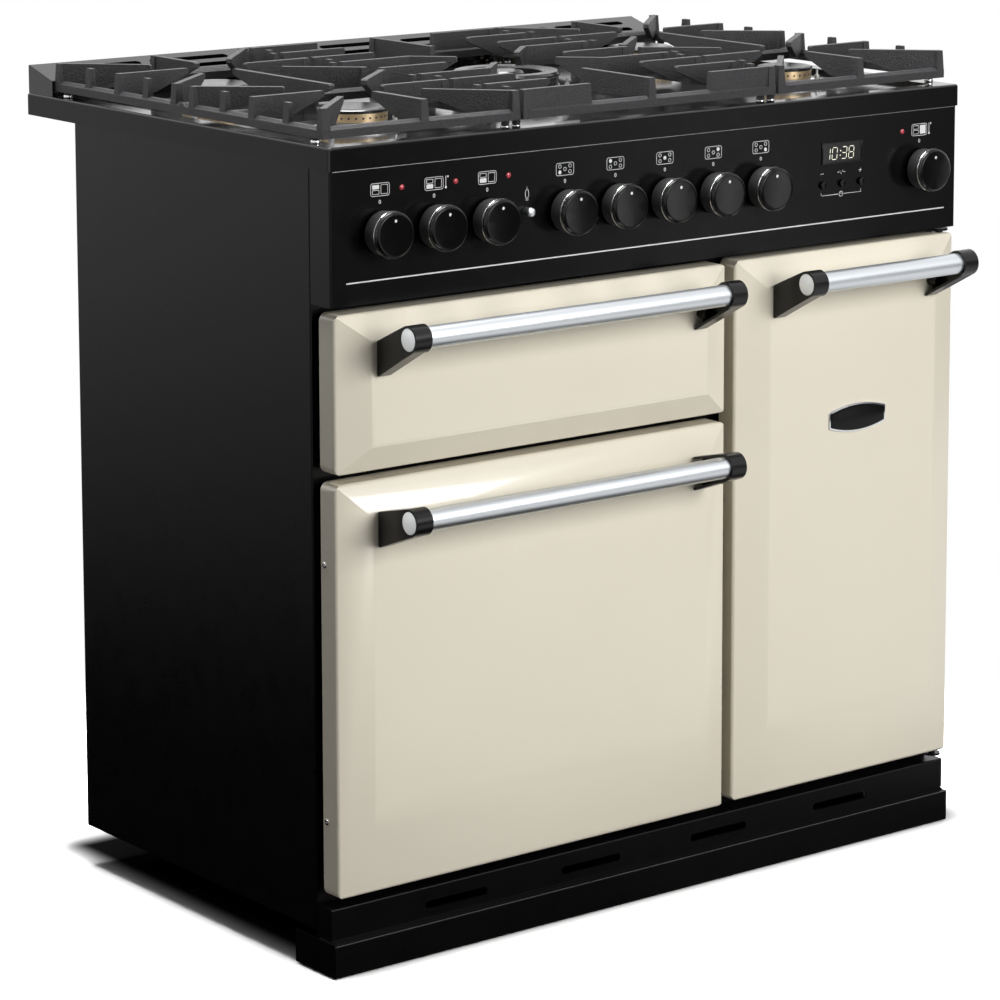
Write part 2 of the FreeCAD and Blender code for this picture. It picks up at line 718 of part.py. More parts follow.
def rail(x0, x1, y0, y1):
    # cast bar between two plan points along X or Y, with its upper edges eased
    w = railWidth / 2
    top = supportRailTop
    ease = w - railEase
    if abs(x1 - x0) > abs(y1 - y0):
        section = [(-w, supportRailBottom), (w, supportRailBottom), (w, top - railEase), (ease, top),
                   (-ease, top), (-w, top - railEase)]
        return alongX([(y0 + a, z) for a, z in section], min(x0, x1) - w, max(x0, x1) + w)
    section = [V(x0 - w, 0, supportRailBottom), V(x0 + w, 0, supportRailBottom),
               V(x0 + w, 0, top - railEase), V(x0 + ease, 0, top), V(x0 - ease, 0, top),
               V(x0 - w, 0, top - railEase)]
    bar = face(section).extrude(V(0, max(y0, y1) - min(y0, y1) + 2 * w, 0))
    bar.translate(V(0, min(y0, y1) - w, 0))
    return bar


def lug(x, y, halfX=4.0, halfY=6.0):
    # short upright stud on a rail, wider at its foot
    wires = []
    for z, ease in ((supportRailTop - railEase - 1, 0.0), (supportTop, 1.2)):
        a = halfX - ease
        b = halfY - ease
        wires.append(Part.makePolygon([V(x - a, y - b, z), V(x + a, y - b, z), V(x + a, y + b, z),
                                       V(x - a, y + b, z), V(x - a, y - b, z)]))
    return Part.makeLoft(wires, True, True)


def root(x, y):
    # flared end of a finger where it stands on a rail
    return lug(x, y, 5.4, 5.4)


def finger(start, end, bothTips=False):
    # upright cast blade from a rail towards a burner: deep at its root, its underside rising to a blunt tip
    dx = end[0] - start[0]
    dy = end[1] - start[1]
    length = math.hypot(dx, dy)
    low = supportTop - rootDepth
    tip = supportTop - tipDepth
    far = [(length - 1.5, supportTop), (length, supportTop - 1.5), (length, tip), (length * 0.5, low)]
    near = [(0, low), (0, supportTop)]
    if bothTips:
        far[3] = (length * 0.68, low)
        near = [(length * 0.32, low), (0, tip), (0, supportTop - 1.5), (1.5, supportTop)]
    plate = face([V(u, -blade / 2, z) for u, z in far + near]).extrude(V(0, blade, 0))
    plate.rotate(V(0, 0, 0), V(0, 0, 1), math.degrees(math.atan2(dy, dx)))
    plate.translate(V(start[0], start[1], 0))
    return plate


def blunt(start, end):
    # upright cast blade of one depth, square at its tip
    dx = end[0] - start[0]
    dy = end[1] - start[1]
    length = math.hypot(dx, dy)
    low = supportTop - rootDepth
    far = [(length - 1.0, supportTop), (length + 1.2, low)]
    plate = face([V(u, -blade / 2, z) for u, z in [(0, low), (0, supportTop)] + far]).extrude(V(0, blade, 0))
    plate.rotate(V(0, 0, 0), V(0, 0, 1), math.degrees(math.atan2(dy, dx)))
    plate.translate(V(start[0], start[1], 0))
    return plate


def supportFoot(x, y):
    # outer feet stand on the rim of the hob, inner ones on its sunk floor
    rest = hobTop if abs(x) > recessHalf else hobFloor
    return rodZ(x, y, rest + doorRun, supportRailBottom + 1, 4.5)


def sideSupport(side):
    # left and right supports: a frame over two burners, each reached by eight fingers
    w = railWidth / 2
    outer = supportOuter - w
    inner = supportInner + supportGap + w
    front = supportFront + w
    back = supportBack - w
    middle = burnerMiddleY
    parts = [
        rail(outer, outer, front, back), rail(inner, inner, front, back), rail(inner, outer, front, front),
        rail(inner, outer, back, back), rail(inner, outer, middle, middle),
    ]
    reach = 39.0
    diagonal = 75.0 * math.sqrt(0.5)
    cx = burnerSpreadX
    fingers = []
    for toward in (-1, 1):
        cy = middle + toward * burnerSpreadY
        edge = middle + toward * (back - middle)
        fingers.append(((outer, cy), (cx + reach, cy)))
        fingers.append(((inner, cy), (cx - reach, cy)))
        fingers.append(((cx, edge), (cx, cy + toward * reach)))
        for x in (outer, inner):
            away = 1 if x > cx else -1
            fingers.append(((x, edge), (cx + away * diagonal, cy + toward * diagonal)))
            fingers.append(((x, middle + toward * 18), (cx + away * diagonal, cy - toward * diagonal)))
            parts.append(lug(x, middle + toward * 77))
            parts.append(lug(x, middle + toward * 197))
            parts.append(supportFoot(x, edge - toward * (footInset - w)))
    for start, end in fingers:
        parts.append(finger(start, end))
        parts.append(root(*start))
    parts.append(finger((cx, middle - burnerSpreadY + reach), (cx, middle + burnerSpreadY - reach), True))
    support = join(parts)
    if side < 0:
        support = support.mirror(V(0, 0, 0), V(1, 0, 0))
    return support


def middleSupport():
    # middle support: bent fingers around the large burner, straight ones before and behind it
    w = railWidth / 2
    edge = supportInner - w
    front = supportFront + w
    back = supportBack - w
    middle = burnerMiddleY
    parts = [rail(-edge, -edge, front, back), rail(edge, edge, front, back),
             rail(-edge, edge, front, front), rail(-edge, edge, back, back)]
    fingers = []
    for side in (-1, 1):
        for toward in (-1, 1):
            last = middle + toward * (back - middle)
            for y in (middle + toward * 134.0, middle + toward * 196.0):
                fingers.append(((side * edge, y), (side * 92.0, y)))
            parts.append(blunt((side * edge, last), (side * bluntEnd, last)))
            parts.append(root(side * edge, last))
            parts.append(bentFinger(side, toward, edge))
            parts.append(root(side * edge, middle + toward * bentOffset))
            parts.append(lug(side * edge, middle + toward * 105))
            parts.append(lug(side * edge, middle + toward * 228))
            parts.append(supportFoot(side * edge, last - toward * (footInset - w)))
    for toward in (-1, 1):
        last = middle + toward * (back - middle)
        parts.append(blunt((0.0, last), (0.0, middle + toward * bluntReach)))
        parts.append(root(0.0, last))
        fingers.append(((toward * edge, middle), (toward * 86.0, middle)))
    for start, end in fingers:
        parts.append(finger(start, end))
        parts.append(root(*start))
    return join(parts)


def bentFinger(side, toward, edge):
    # runs in from the side rail, then turns towards the burner
    middle = burnerMiddleY
    y = middle + toward * bentOffset
    bend = (side * 84.0, y)
    tip = (side * 44.0, middle + toward * 36.0)
    low = supportTop - rootDepth
    straight = box(min(side * edge, bend[0]), max(side * edge, bend[0]), y - blade / 2, y + blade / 2, low,
                   supportTop)
    knee = rodZ(bend[0], bend[1], low, supportTop, blade / 2)
    return join([straight, knee, finger(bend, tip)])


# ---------------------------------------------------------------- control panel
def controlPanel():
    # folded fascia, open at the back, with holes for the shafts and buttons and a seat for the window
    shell = box(-bodyHalf, bodyHalf, panelFront, frameFront, panelBottom, hobBottom)
    shell = filleted(shell, 2.5, lambda e: e.CenterOfMass.y < panelFront + 1 and isUpright(e))
    shell = shell.cut(box(-bodyHalf + 2, bodyHalf - 2, panelFront + 3, frameFront + 1, panelBottom + 2,
                          hobBottom - 2))
    cuts = [rodY(x, panelFront - 1, panelFront + 5, knobHeight, shaftHole) for x in knobX.values()]
    cuts.append(rodY(lightX, panelFront - 1, panelFront + 5, lightZ, 5.6))
    for x in clockButtonX.values():
        cuts.append(rodY(x, panelFront - 1, panelFront + 5, clockButtonZ, 4.6))
    cuts.append(box(clockX - clockHalf, clockX + clockHalf, panelFront - 1, panelFront + 1.5, clockBottom,
                    clockTop))
    return shell.cut(group(cuts))


def clockWindow():
    return box(clockX - clockHalf, clockX + clockHalf, panelFront - 0.4, panelFront + 1.5, clockBottom,
               clockTop)


def knob(name):
    # barrel with a waist, a fine ring near the front and an eased, faintly dished face
    x = knobX[name]
    front = knobLength
    bore = shaftRadius + pinPlay
    isGas = name in gasKnobs
    profile = [
        (0, knobGap), (22.6, knobGap), (23.4, knobGap + 1), (23.8, 19), (22.9, 19.6), (22.9, 20.6),
        (knobRadius, 21.2), (knobRadius, 25.5), (24.2, 27.6), (22.4, front), (20.6, front - 0.3),
        (0, front - 0.8),
    ]
    body = turned(profile, V(x, panelFront, knobHeight), V(0, -1, 0))
    if isGas:
        return body.cut(rodY(x, panelFront - 20, panelFront, knobHeight, bore))
    return body.fuse(rodY(x, panelFront - knobGap - 1, panelFront + 24, knobHeight, shaftRadius))


def gasSpindle(name):
    x = knobX[name]
    return rodY(x, panelFront - 19, panelFront + 26, knobHeight, shaftRadius)


def lightButton():
    profile = [(0, -12), (5, -12), (5, 9), (4.2, 10.6), (2.4, 11.4), (0, 11.6)]
    return turned(profile, V(lightX, panelFront, lightZ), V(0, -1, 0))


def clockButton(name):
    profile = [(0, -8), (4, -8), (4, 3.2), (3.2, 4), (0, 4.2)]
    return turned(profile, V(clockButtonX[name], panelFront, clockButtonZ), V(0, -1, 0))


# ---------------------------------------------------------------- doors
doorCorner = 9.0
edgeRound = 5.0            # bevel to upright edge
creaseRound = 14.0         # bevel to flat middle
rollLean = 0.2             # half way up, the rolled end leans back this much from a true tangent arc
runOut = 0.05              # the outlines pass the plate by this much, so that their rounds end on its sides
skinFlat = 2.4             # enamelled skin
skinEdge = 2.0


def doorForm(d, inset, front, back):
    # a plate with round corners, cut to one outline across the door and to another from bottom to top
    x0 = d["x0"] + inset
    x1 = d["x1"] - inset
    z0 = d["z0"] + inset
    z1 = d["z1"] - inset
    flat = front - doorRise
    left = d["x0"] + d["bevelX"]
    right = d["x1"] - d["bevelX"]
    low = d["z0"] + (d["roll"] or d["bevelZ"])
    high = d["z1"] - d["bevelZ"]
    plate = frontPlate(x0, x1, z0, z1, doorCorner - inset, flat - 1, back)
    deep = back + 1
    a0 = x0 - runOut
    a1 = x1 + runOut
    across = [(a0, deep), (a0, front), (left, flat), (right, flat), (a1, front), (a1, deep)]
    across = eased(alongZ(across, z0 - 1, z1 + 1),
                   {(a0, front): edgeRound, (a1, front): edgeRound, (left, flat): creaseRound,
                    (right, flat): creaseRound}, lambda e: (e.CenterOfMass.x, e.CenterOfMass.y))
    c0 = z0 - runOut
    c1 = z1 + runOut
    upright = doorUpright(d["roll"], c0, low, high, c1, flat, front, deep, x0 - 1, x1 + 1)
    rounds = {(c0, front): edgeRound, (c1, front): edgeRound, (high, flat): creaseRound}
    if not d["roll"]:
        rounds[(low, flat)] = creaseRound
    upright = eased(upright, rounds, lambda e: (e.CenterOfMass.z, e.CenterOfMass.y))
    return plate.common(across).common(upright)


def doorUpright(roll, z0, low, high, z1, flat, front, back, x0, x1):
    # outline from bottom to top; the rolled end is one arc that runs into the flat almost without a crease
    corners = [V(x0, back, z0), V(x0, front, z0), V(x0, flat, low), V(x0, flat, high), V(x0, front, z1),
               V(x0, back, z1)]
    edges = [Part.LineSegment(corners[i - 1], corners[i]).toShape() for i in range(len(corners))]
    if roll:
        rise = front - flat
        run = low - z0
        radius = (run * run + rise * rise) / (2 * rise)
        swell = flat + radius - math.sqrt(radius * radius - run * run / 4) + rollLean
        middle = V(x0, swell, z0 + run / 2)
        edges[2] = Part.Arc(corners[1], middle, corners[2]).toShape()
    return Part.Face(Part.Wire(edges)).extrude(V(x1 - x0, 0, 0))


def eased(prism, rounds, place):
    # rounds the long edges of a prism, each named by where it lies in the outline
    for spot, radius in rounds.items():
        prism = filleted(prism, radius, lambda e: math.dist(place(e), spot) < 0.01)
    return prism


def doorOuter(d, arms):
    # enamelled skin of a door with a narrow flange turned in behind
    skin = doorForm(d, 0.0, doorFront, doorBack)
    skin = skin.cut(doorForm(d, skinEdge, doorFront + skinFlat, doorBack + 1))
    flange = frontPlate(d["x0"] + 1, d["x1"] - 1, d["z0"] + 1, d["z1"] - 1, 8, doorBack - 2, doorBack)
    flange = flange.cut(frontPlate(d["x0"] + 6.5, d["x1"] - 6.5, d["z0"] + 6.5, d["z1"] - 6.5, 4,
                                   doorBack - 3, doorBack + 1))
    skin = join([skin, flange])
    for x, z in arms:
        skin = skin.cut(armSlot(x, z))
    return skin


def armSlot(x, z):
    # room for a hinge arm as the door drops from closed to level
    half = armHalfWidth + slotPlay
    return box(x - half, x + half, pivotY - armEye - 1, doorBack + 40, z - 40, z + armEye + 1)


def innerForm(d, c, thin):
    # back of a door: a plate, a raised land that meets the seal and a plug inside the opening
    land = frameFront - sealDepth - doorRun - thin
    plugBack = bodyFront + 1 - thin
    raised = frontPlate(c["x0"] - 8 + thin, c["x1"] + 8 - thin, c["z0"] - 8 + thin, c["z1"] + 8 - thin,
                        16 - thin, doorBack + 1 - 2 * thin, land)
    wires = []
    for inset, y in ((9, land - 0.5), (15, plugBack)):
        wires.append(frontRect(c["x0"] + inset + thin, c["x1"] - inset - thin, c["z0"] + inset + thin,
                               c["z1"] - inset - thin, 10 - thin, y))
    return raised, Part.makeLoft(wires, True, True)


def doorInner(d, c, arms):
    plate = frontPlate(d["x0"] + 3, d["x1"] - 3, d["z0"] + 3, d["z1"] - 3, 7, doorBack, doorBack + sheet)
    parts = [plate, *innerForm(d, c, 0.0)]
    for x, z in arms:
        parts.append(box(x - 11, x + 11, pivotY - 7, doorBack + 0.5, z - 9, z + armEye + 3))
    back = join(parts)
    for form in innerForm(d, c, sheet):
        back = back.cut(form)
    pins = []
    for x, z in arms:
        back = back.cut(armSlot(x, z))
        pins.append(rodX(x - 10, x + 10, pivotY, z, hingePin))
    return join([back] + pins) if pins else back


def tallDoorOuter():
    skin = doorOuter(tallDoor, [])
    hole = tallPin + 0.8
    top = tallDoor["z1"]
    return skin.cut(group([rodZ(tallPivotX, pivotY, top - 6, top + 2, hole),
                           rodZ(tallPivotX, pivotY, tallDoor["z0"] - 2, tallDoor["z0"] + 6, hole)]))


def tallDoorInner():
    # inner panel with a bush at the top and bottom for the hinge pins
    back = doorInner(tallDoor, tallCavity, [])
    bushes = []
    bores = []
    top = tallDoor["z1"]
    bottom = tallDoor["z0"]
    for z0, z1 in ((top - tallBushFar, top - tallBushNear), (bottom + tallBushNear, bottom + tallBushFar)):
        bushes.append(box(tallPivotX - 9, tallPivotX + 5.3, pivotY - 8, doorBack + 0.5, z0, z1))
        bores.append(rodZ(tallPivotX, pivotY, z0 - 5, z1 + 5, tallPin + pinPlay))
    return join([back] + bushes).cut(group(bores))


def handleEnd(x0, side, tubeZ, footZ):
    # moulded end bracket: an arm from the door's flat up to a round collar, hollow on its inner side
    flat = doorFront - doorRise
    x1 = x0 + side * armThickness
    lo = min(x0, x1)
    hi = max(x0, x1)
    arm = armOutline(flat, tubeZ, footZ, 0.0).extrude(V(hi - lo, 0, 0))
    arm.translate(V(lo, 0, 0))
    arm = filleted(arm, footRound, lambda e: abs(e.BoundBox.YMin - flat) < 0.01 and e.BoundBox.YLength < 0.1
                   and e.BoundBox.XLength > armThickness - 0.1)
    lean = [(x0 - side, flat - armCrease), (x0, flat - armCrease), (x0 + side * armLean, flat),
            (x0 + side * armLean, flat + 1), (x0 - side, flat + 1)]
    arm = arm.cut(alongZ(lean, footZ - 1, tubeZ + collarRadius + 1))
    pocket = armOutline(flat, tubeZ, footZ, armWall).extrude(V(armThickness, 0, 0))
    pocket.translate(V(lo + side * (armWall + 0.5), 0, 0))
    collar = rodX(min(x0, x0 + side * collarLength), max(x0, x0 + side * collarLength), handleY, tubeZ,
                  collarRadius)
    screwX = x0 + side * 8.0
    boss = rodY(screwX, flat - 14, flat, footZ + footHeight / 2, 5.5)
    socket = x0 + side * 5.0
    bore = rodX(min(socket, socket + side * 30), max(socket, socket + side * 30), handleY, tubeZ,
                tubeRadius + 0.1)
    disc = rodX(x0 - 1.0, x0 + 1.0, handleY, tubeZ, collarRadius - 2.4)
    screw = rodY(screwX, flat - 12, flat + 1, footZ + footHeight / 2, 2.2)
    return join([arm.cut(pocket), collar, boss]).cut(group([bore, disc, screw]))


def armOutline(flat, tubeZ, footZ, inset):
    # side view of the arm: foot edge, then the two lines tangent to the collar
    r = collarRadius - inset
    top = footZ + footHeight - inset
    low = footZ + inset
    foot = flat if inset == 0 else flat + 0.5
    upper = tangentPoint(foot, top, tubeZ, r, 1)
    lower = tangentPoint(foot, low, tubeZ, r, -1)
    front = V(0, handleY - r, tubeZ)
    arc = Part.Arc(upper, front, lower).toShape()
    edges = [Part.LineSegment(V(0, foot, low), V(0, foot, top)).toShape(),
             Part.LineSegment(V(0, foot, top), upper).toShape(), arc,
             Part.LineSegment(lower, V(0, foot, low)).toShape()]
    return Part.Face(Part.Wire(edges))


def tangentPoint(y, z, tubeZ, r, side):
    dy = y - handleY
    dz = z - tubeZ
    distance = math.hypot(dy, dz)
    base = math.atan2(dz, dy)
    turn = math.acos(r / distance)
    a = base + side * turn
    return V(0, handleY + r * math.cos(a), tubeZ + r * math.sin(a))


def handleSpan(h):
    return h["door"]["x0"] + handleEnds, h["door"]["x1"] - handleEnds


def handleBrackets(h):
    x0, x1 = handleSpan(h)
    left = handleEnd(x0, 1, h["tubeZ"], h["footZ"])
    right = handleEnd(x1, -1, h["tubeZ"], h["footZ"])
    return group([left, right])


def handleTube(h):
    x0, x1 = handleSpan(h)
    outer = rodX(x0 + 5.2, x1 - 5.2, handleY, h["tubeZ"], tubeRadius)
    return outer.cut(rodX(x0, x1, handleY, h["tubeZ"], tubeRadius - 1.5))


# ---------------------------------------------------------------- write the nodes
mainArms = hingePlaces(mainDoor, mainPivotZ)
grillArms = hingePlaces(grillDoor, grillPivotZ)

nodes = {
    "side_panel_left": lambda: sidePanel(-1),
    "side_panel_right": lambda: sidePanel(1),
    "back_panel": backPanel,
    "base_tray": baseTray,
    "front_feet": frontFeet,
    "rear_rollers": rearRollers,
    "plinth_kickboard": plinthKickboard,
    "plinth_vent_bar": plinthVentBar,
    "front_frame": frontFrame,
    "door_seals": doorSeals,
    "grill_chamber": grillChamber,
    "grill_element": grillElement,
    "grill_carriage": grillCarriage,
    "grill_pan": grillPan,
    "grill_trivet": grillTrivet,
    "main_oven_liner": mainOvenLiner,
    "tall_oven_liner": tallOvenLiner,
    "oven_shelf_racks": shelfRacks,
    "main_oven_shelves": lambda: group([wireShelf(mainCavity, mainLevels[i], 16) for i in (1, 3)]),
    "tall_oven_shelves": lambda: group([wireShelf(tallCavity, tallLevels[i], 10) for i in (1, 4)]),
    "hob_tray": hobTray,
    "rear_upstand": rearUpstand,
    "burner_bodies": burnerBodies,
    "burner_port_rings": burnerPortRings,
    "burner_caps": burnerCaps,
    "pan_support_left": lambda: sideSupport(-1),
    "pan_support_middle": middleSupport,
    "pan_support_right": lambda: sideSupport(1),
    "control_panel": controlPanel,
    "clock_window": clockWindow,
    "light_button": lightButton,
    "grill_door_panel": lambda: doorOuter(grillDoor, grillArms),
    "grill_door_inner": lambda: doorInner(grillDoor, grillCavity, grillArms),
    "main_door_panel": lambda: doorOuter(mainDoor, mainArms),
    "main_door_inner": lambda: doorInner(mainDoor, mainCavity, mainArms),
    "tall_door_panel": tallDoorOuter,
    "tall_door_inner": tallDoorInner,
}
for name, h in handles.items():
    nodes[name + "_door_handle_tube"] = lambda h=h: handleTube(h)
    nodes[name + "_door_handle_brackets"] = lambda h=h: handleBrackets(h)
for name in knobX:
    nodes[name] = lambda name=name: knob(name)
for name in gasKnobs:
    nodes[name.replace("knob", "spindle")] = lambda name=name: gasSpindle(name)
for name in clockButtonX:
    nodes[name] = lambda name=name: clockButton(name)

for name, make in nodes.items():
    save(name, make())
print(len(nodes), "nodes")
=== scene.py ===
import json
import math

import bpy
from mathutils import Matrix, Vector


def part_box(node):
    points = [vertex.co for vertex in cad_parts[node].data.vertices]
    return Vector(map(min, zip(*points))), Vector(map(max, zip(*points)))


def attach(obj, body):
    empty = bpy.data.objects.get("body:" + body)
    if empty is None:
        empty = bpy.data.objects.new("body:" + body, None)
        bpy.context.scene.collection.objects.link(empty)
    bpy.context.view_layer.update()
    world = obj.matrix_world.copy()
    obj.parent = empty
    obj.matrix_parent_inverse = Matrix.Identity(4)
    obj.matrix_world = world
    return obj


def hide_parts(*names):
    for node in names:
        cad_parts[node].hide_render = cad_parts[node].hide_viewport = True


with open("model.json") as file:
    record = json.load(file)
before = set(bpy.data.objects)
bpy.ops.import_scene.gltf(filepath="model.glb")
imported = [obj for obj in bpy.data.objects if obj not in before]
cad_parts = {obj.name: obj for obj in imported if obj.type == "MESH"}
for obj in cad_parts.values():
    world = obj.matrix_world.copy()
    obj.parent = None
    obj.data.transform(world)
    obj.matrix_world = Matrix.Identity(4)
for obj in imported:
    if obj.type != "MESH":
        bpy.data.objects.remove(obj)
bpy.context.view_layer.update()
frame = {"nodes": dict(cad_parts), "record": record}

mm = 0.001
frontToOrigin = 260.0  # the hob's front edge lies this far before the origin
quarter = math.pi / 2


def at(x, y, z):
    # millimetres counted from the hob's front edge, as metres in the frame
    return Vector((x * mm, (y - frontToOrigin) * mm, z * mm))


# picking, shaping and finishing pieces
def pick(*pieces):
    if bpy.context.object and bpy.context.object.mode != "OBJECT":
        bpy.ops.object.mode_set(mode="OBJECT")
    bpy.ops.object.select_all(action="DESELECT")
    for piece in pieces:
        piece.select_set(True)
    bpy.context.view_layer.objects.active = pieces[0]


def editing(piece, mode):
    # edit mode with nothing selected
    pick(piece)
    bpy.ops.object.mode_set(mode="EDIT")
    bpy.ops.mesh.select_mode(type=mode)
    bpy.ops.mesh.select_all(action="DESELECT")


def placed(piece):
    pick(piece)
    bpy.ops.object.transform_apply(location=True, rotation=True, scale=True)
    return piece


def useModifier(piece, kind, **values):
    pick(piece)
    modifier = piece.modifiers.new(kind.lower(), kind)
    for key, value in values.items():
        setattr(modifier, key, value)
    bpy.ops.object.modifier_apply(modifier=modifier.name)


def joined(pieces, name):
    pick(*pieces)
    if len(pieces) > 1:
        bpy.ops.object.join()
    piece = bpy.context.object
    piece.name = name
    return piece


def finished(piece, name, body, material, smooth=35):
    # smooth is the steepest turn in degrees that is still shaded round
    placed(piece)
    piece.name = name
    piece.data.name = name
    pick(piece)
    bpy.ops.object.shade_smooth_by_angle(angle=math.radians(smooth))
    piece.data.materials.clear()
    piece.data.materials.append(material)
    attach(piece, body)
    return piece


# materials
class Wire:
    # a socket that can be used in plain sums
    def __init__(self, paint, socket):
        self.paint = paint
        self.socket = socket

    def sum(self, operation, first, second):
        return self.paint.add("ShaderNodeMath", {"operation": operation}, {0: first, 1: second})

    def __add__(self, other):
        return self.sum("ADD", self, other)

    __radd__ = __add__

    def __sub__(self, other):
        return self.sum("SUBTRACT", self, other)

    def __rsub__(self, other):
        return self.sum("SUBTRACT", other, self)

    def __mul__(self, other):
        return self.sum("MULTIPLY", self, other)

    __rmul__ = __mul__


class Paint:
    # one material: fixed values sit on the shader, changing ones are fed from nodes
    def __init__(self, name, world=None, **fixed):
        self.world = world
        self.material = world or bpy.data.materials.new(name)
        self.material.use_nodes = True
        self.tree = self.material.node_tree
        self.shader = self.tree.nodes["Background" if world else "Principled BSDF"]
        for key, value in fixed.items():
            self.shader.inputs[key.replace("_", " ")].default_value = value
        self.here = self.add("ShaderNodeTexCoord", {}, {}, "Generated" if world else "Object")

    def add(self, kind, settings, values, output=0):
        node = self.tree.nodes.new(kind)
        for key, value in settings.items():
            if key == "stops":
                ramp = node.color_ramp
                while len(ramp.elements) < len(value):
                    ramp.elements.new(0.5)
                for element, (position, colour) in zip(ramp.elements, value):
                    element.position = position
                    element.color = colour
            else:
                setattr(node, key, value)
        for key, value in values.items():
            if isinstance(value, Wire):
                self.tree.links.new(value.socket, node.inputs[key])
            else:
                node.inputs[key].default_value = value
        return Wire(self, node.outputs[output])

    def stretched(self, scale):
        return self.add("ShaderNodeMapping", {}, {"Vector": self.here, "Scale": scale})

    def noise(self, scale, detail=3.0, roughness=0.5, where=None):
        values = {"Vector": where or self.here, "Scale": scale, "Detail": detail, "Roughness": roughness}
        return self.add("ShaderNodeTexNoise", {}, values)

    def ramp(self, factor, *stops):
        return self.add("ShaderNodeValToRGB", {"stops": stops}, {"Fac": factor})

    def level(self, factor, low, high):
        # spreads a 0..1 pattern over a range of plain numbers
        return self.add("ShaderNodeMapRange", {}, {"Value": factor, "To Min": low, "To Max": high})

    def fade(self, value, start, end):
        # smooth step from 0 at start to 1 at end
        return self.add("ShaderNodeMapRange", {"interpolation_type": "SMOOTHSTEP"},
                        {"Value": value, "From Min": start, "From Max": end})

    def vector(self, operation, first, second=(0, 0, 0), output="Vector"):
        return self.add("ShaderNodeVectorMath", {"operation": operation}, {0: first, 1: second}, output)

    def mix(self, factor, first, second):
        return self.add("ShaderNodeMix", {"data_type": "RGBA"}, {0: factor, 6: first, 7: second}, 2)

    def blend(self, factor, first, second):
        return self.add("ShaderNodeMixShader", {}, {0: factor, 1: first, 2: second}, "Shader")

    def glow(self, strength):
        kind = "Background" if self.world else "Emission"
        return self.add("ShaderNode" + kind, {}, {"Color": shade(1.0), "Strength": strength}, kind)

    def ray(self, kind):
        return self.add("ShaderNodeLightPath", {}, {}, kind)

    def finish(self, surface):
        last = self.tree.nodes["World Output" if self.world else "Material Output"]
        self.tree.links.new(surface.socket, last.inputs[0])

    def feed(self, **wires):
        for key, wire in wires.items():
            self.tree.links.new(wire.socket, self.shader.inputs[key.replace("_", " ")])
        return self

    def bump(self, height, distance, strength=1.0):
        values = {"Height": height, "Distance": distance, "Strength": strength}
        return self.feed(Normal=self.add("ShaderNodeBump", {}, values))


def shade(level, tint=(1.0, 1.0, 1.0)):
    # a grey of this level, or one that leans to the tint
    return (level * tint[0], level * tint[1], level * tint[2], 1.0)


def dimmed(colour, share):
    return tuple(channel * share for channel in colour[:3]) + (1.0,)


def enamel(name, dark, light, roughness, coat, peel, shine=0.5):
    # glossy stoved enamel: barely mottled, with a soft orange-peel surface
    paint = Paint(name, IOR=1.5, Coat_Weight=coat, Coat_Roughness=0.04, Coat_IOR=1.5,
                  Specular_IOR_Level=shine)
    cloud = paint.noise(6.0, 4.0)
    paint.feed(Base_Color=paint.mix(cloud, dark, light))
    paint.feed(Roughness=paint.level(paint.noise(60.0, 3.0), roughness - 0.03, roughness + 0.04))
    paint.bump(paint.noise(190.0, 2.0), peel)
    return paint.material


def powder(name, level, roughness, grain, shine=0.5):
    # satin stoved paint with a fine dry texture
    paint = Paint(name, IOR=1.5, Specular_IOR_Level=shine)
    tint = (1.0, 0.96, 1.04)
    cloud = paint.noise(9.0, 3.0)
    paint.feed(Base_Color=paint.mix(cloud, shade(level * 0.85, tint), shade(level * 1.15, tint)))
    paint.feed(Roughness=paint.level(paint.noise(35.0, 3.0), roughness - 0.04, roughness + 0.05))
    paint.bump(paint.noise(1400.0, 2.0), grain)
    return paint.material


def metal(name, colour, roughness, stretch, wear=0.06):
    # drawn or brushed metal: fine lines along one direction and a slow change of gloss
    paint = Paint(name, Metallic=1.0)
    lines = paint.noise(1.0, 4.0, 0.6, paint.stretched(stretch))
    slow = paint.noise(14.0, 3.0)
    tone = paint.level(slow, 0.92, 1.04)
    paint.feed(Base_Color=paint.mix(paint.level(lines, 0.0, 1.0), colour, dimmed(colour, 0.86)))
    paint.feed(Roughness=paint.level(lines, roughness - wear / 2, roughness + wear) * tone)
    paint.bump(lines, 0.00004, 0.5)
    return paint.material


def moulded(name, level, roughness, grain, scale=900.0, shine=0.5):
    # moulded plastic with a fine grain
    paint = Paint(name, IOR=1.5, Specular_IOR_Level=shine)
    cloud = paint.noise(20.0, 3.0)
    paint.feed(Base_Color=paint.mix(cloud, shade(level * 0.8), shade(level * 1.2)))
    paint.feed(Roughness=paint.level(paint.noise(50.0), roughness - 0.04, roughness + 0.06))
    paint.bump(paint.noise(scale, 2.0), grain)
    return paint.material


def castIron():
    # matt enamelled casting: pitted, a little paler where grains stand out
    paint = Paint("cast_iron", IOR=1.5, Specular_IOR_Level=0.4)
    tint = (1.0, 0.96, 1.06)
    grain = paint.noise(480.0, 4.0, 0.7)
    patches = paint.noise(30.0, 3.0)
    tone = paint.mix(patches, shade(0.010, tint), shade(0.018, tint))
    paint.feed(Base_Color=paint.mix(paint.level(grain, -0.6, 1.2), tone, shade(0.034, tint)))
    paint.feed(Roughness=paint.level(patches, 0.38, 0.5))
    paint.bump(grain, 0.0014)
    return paint.material


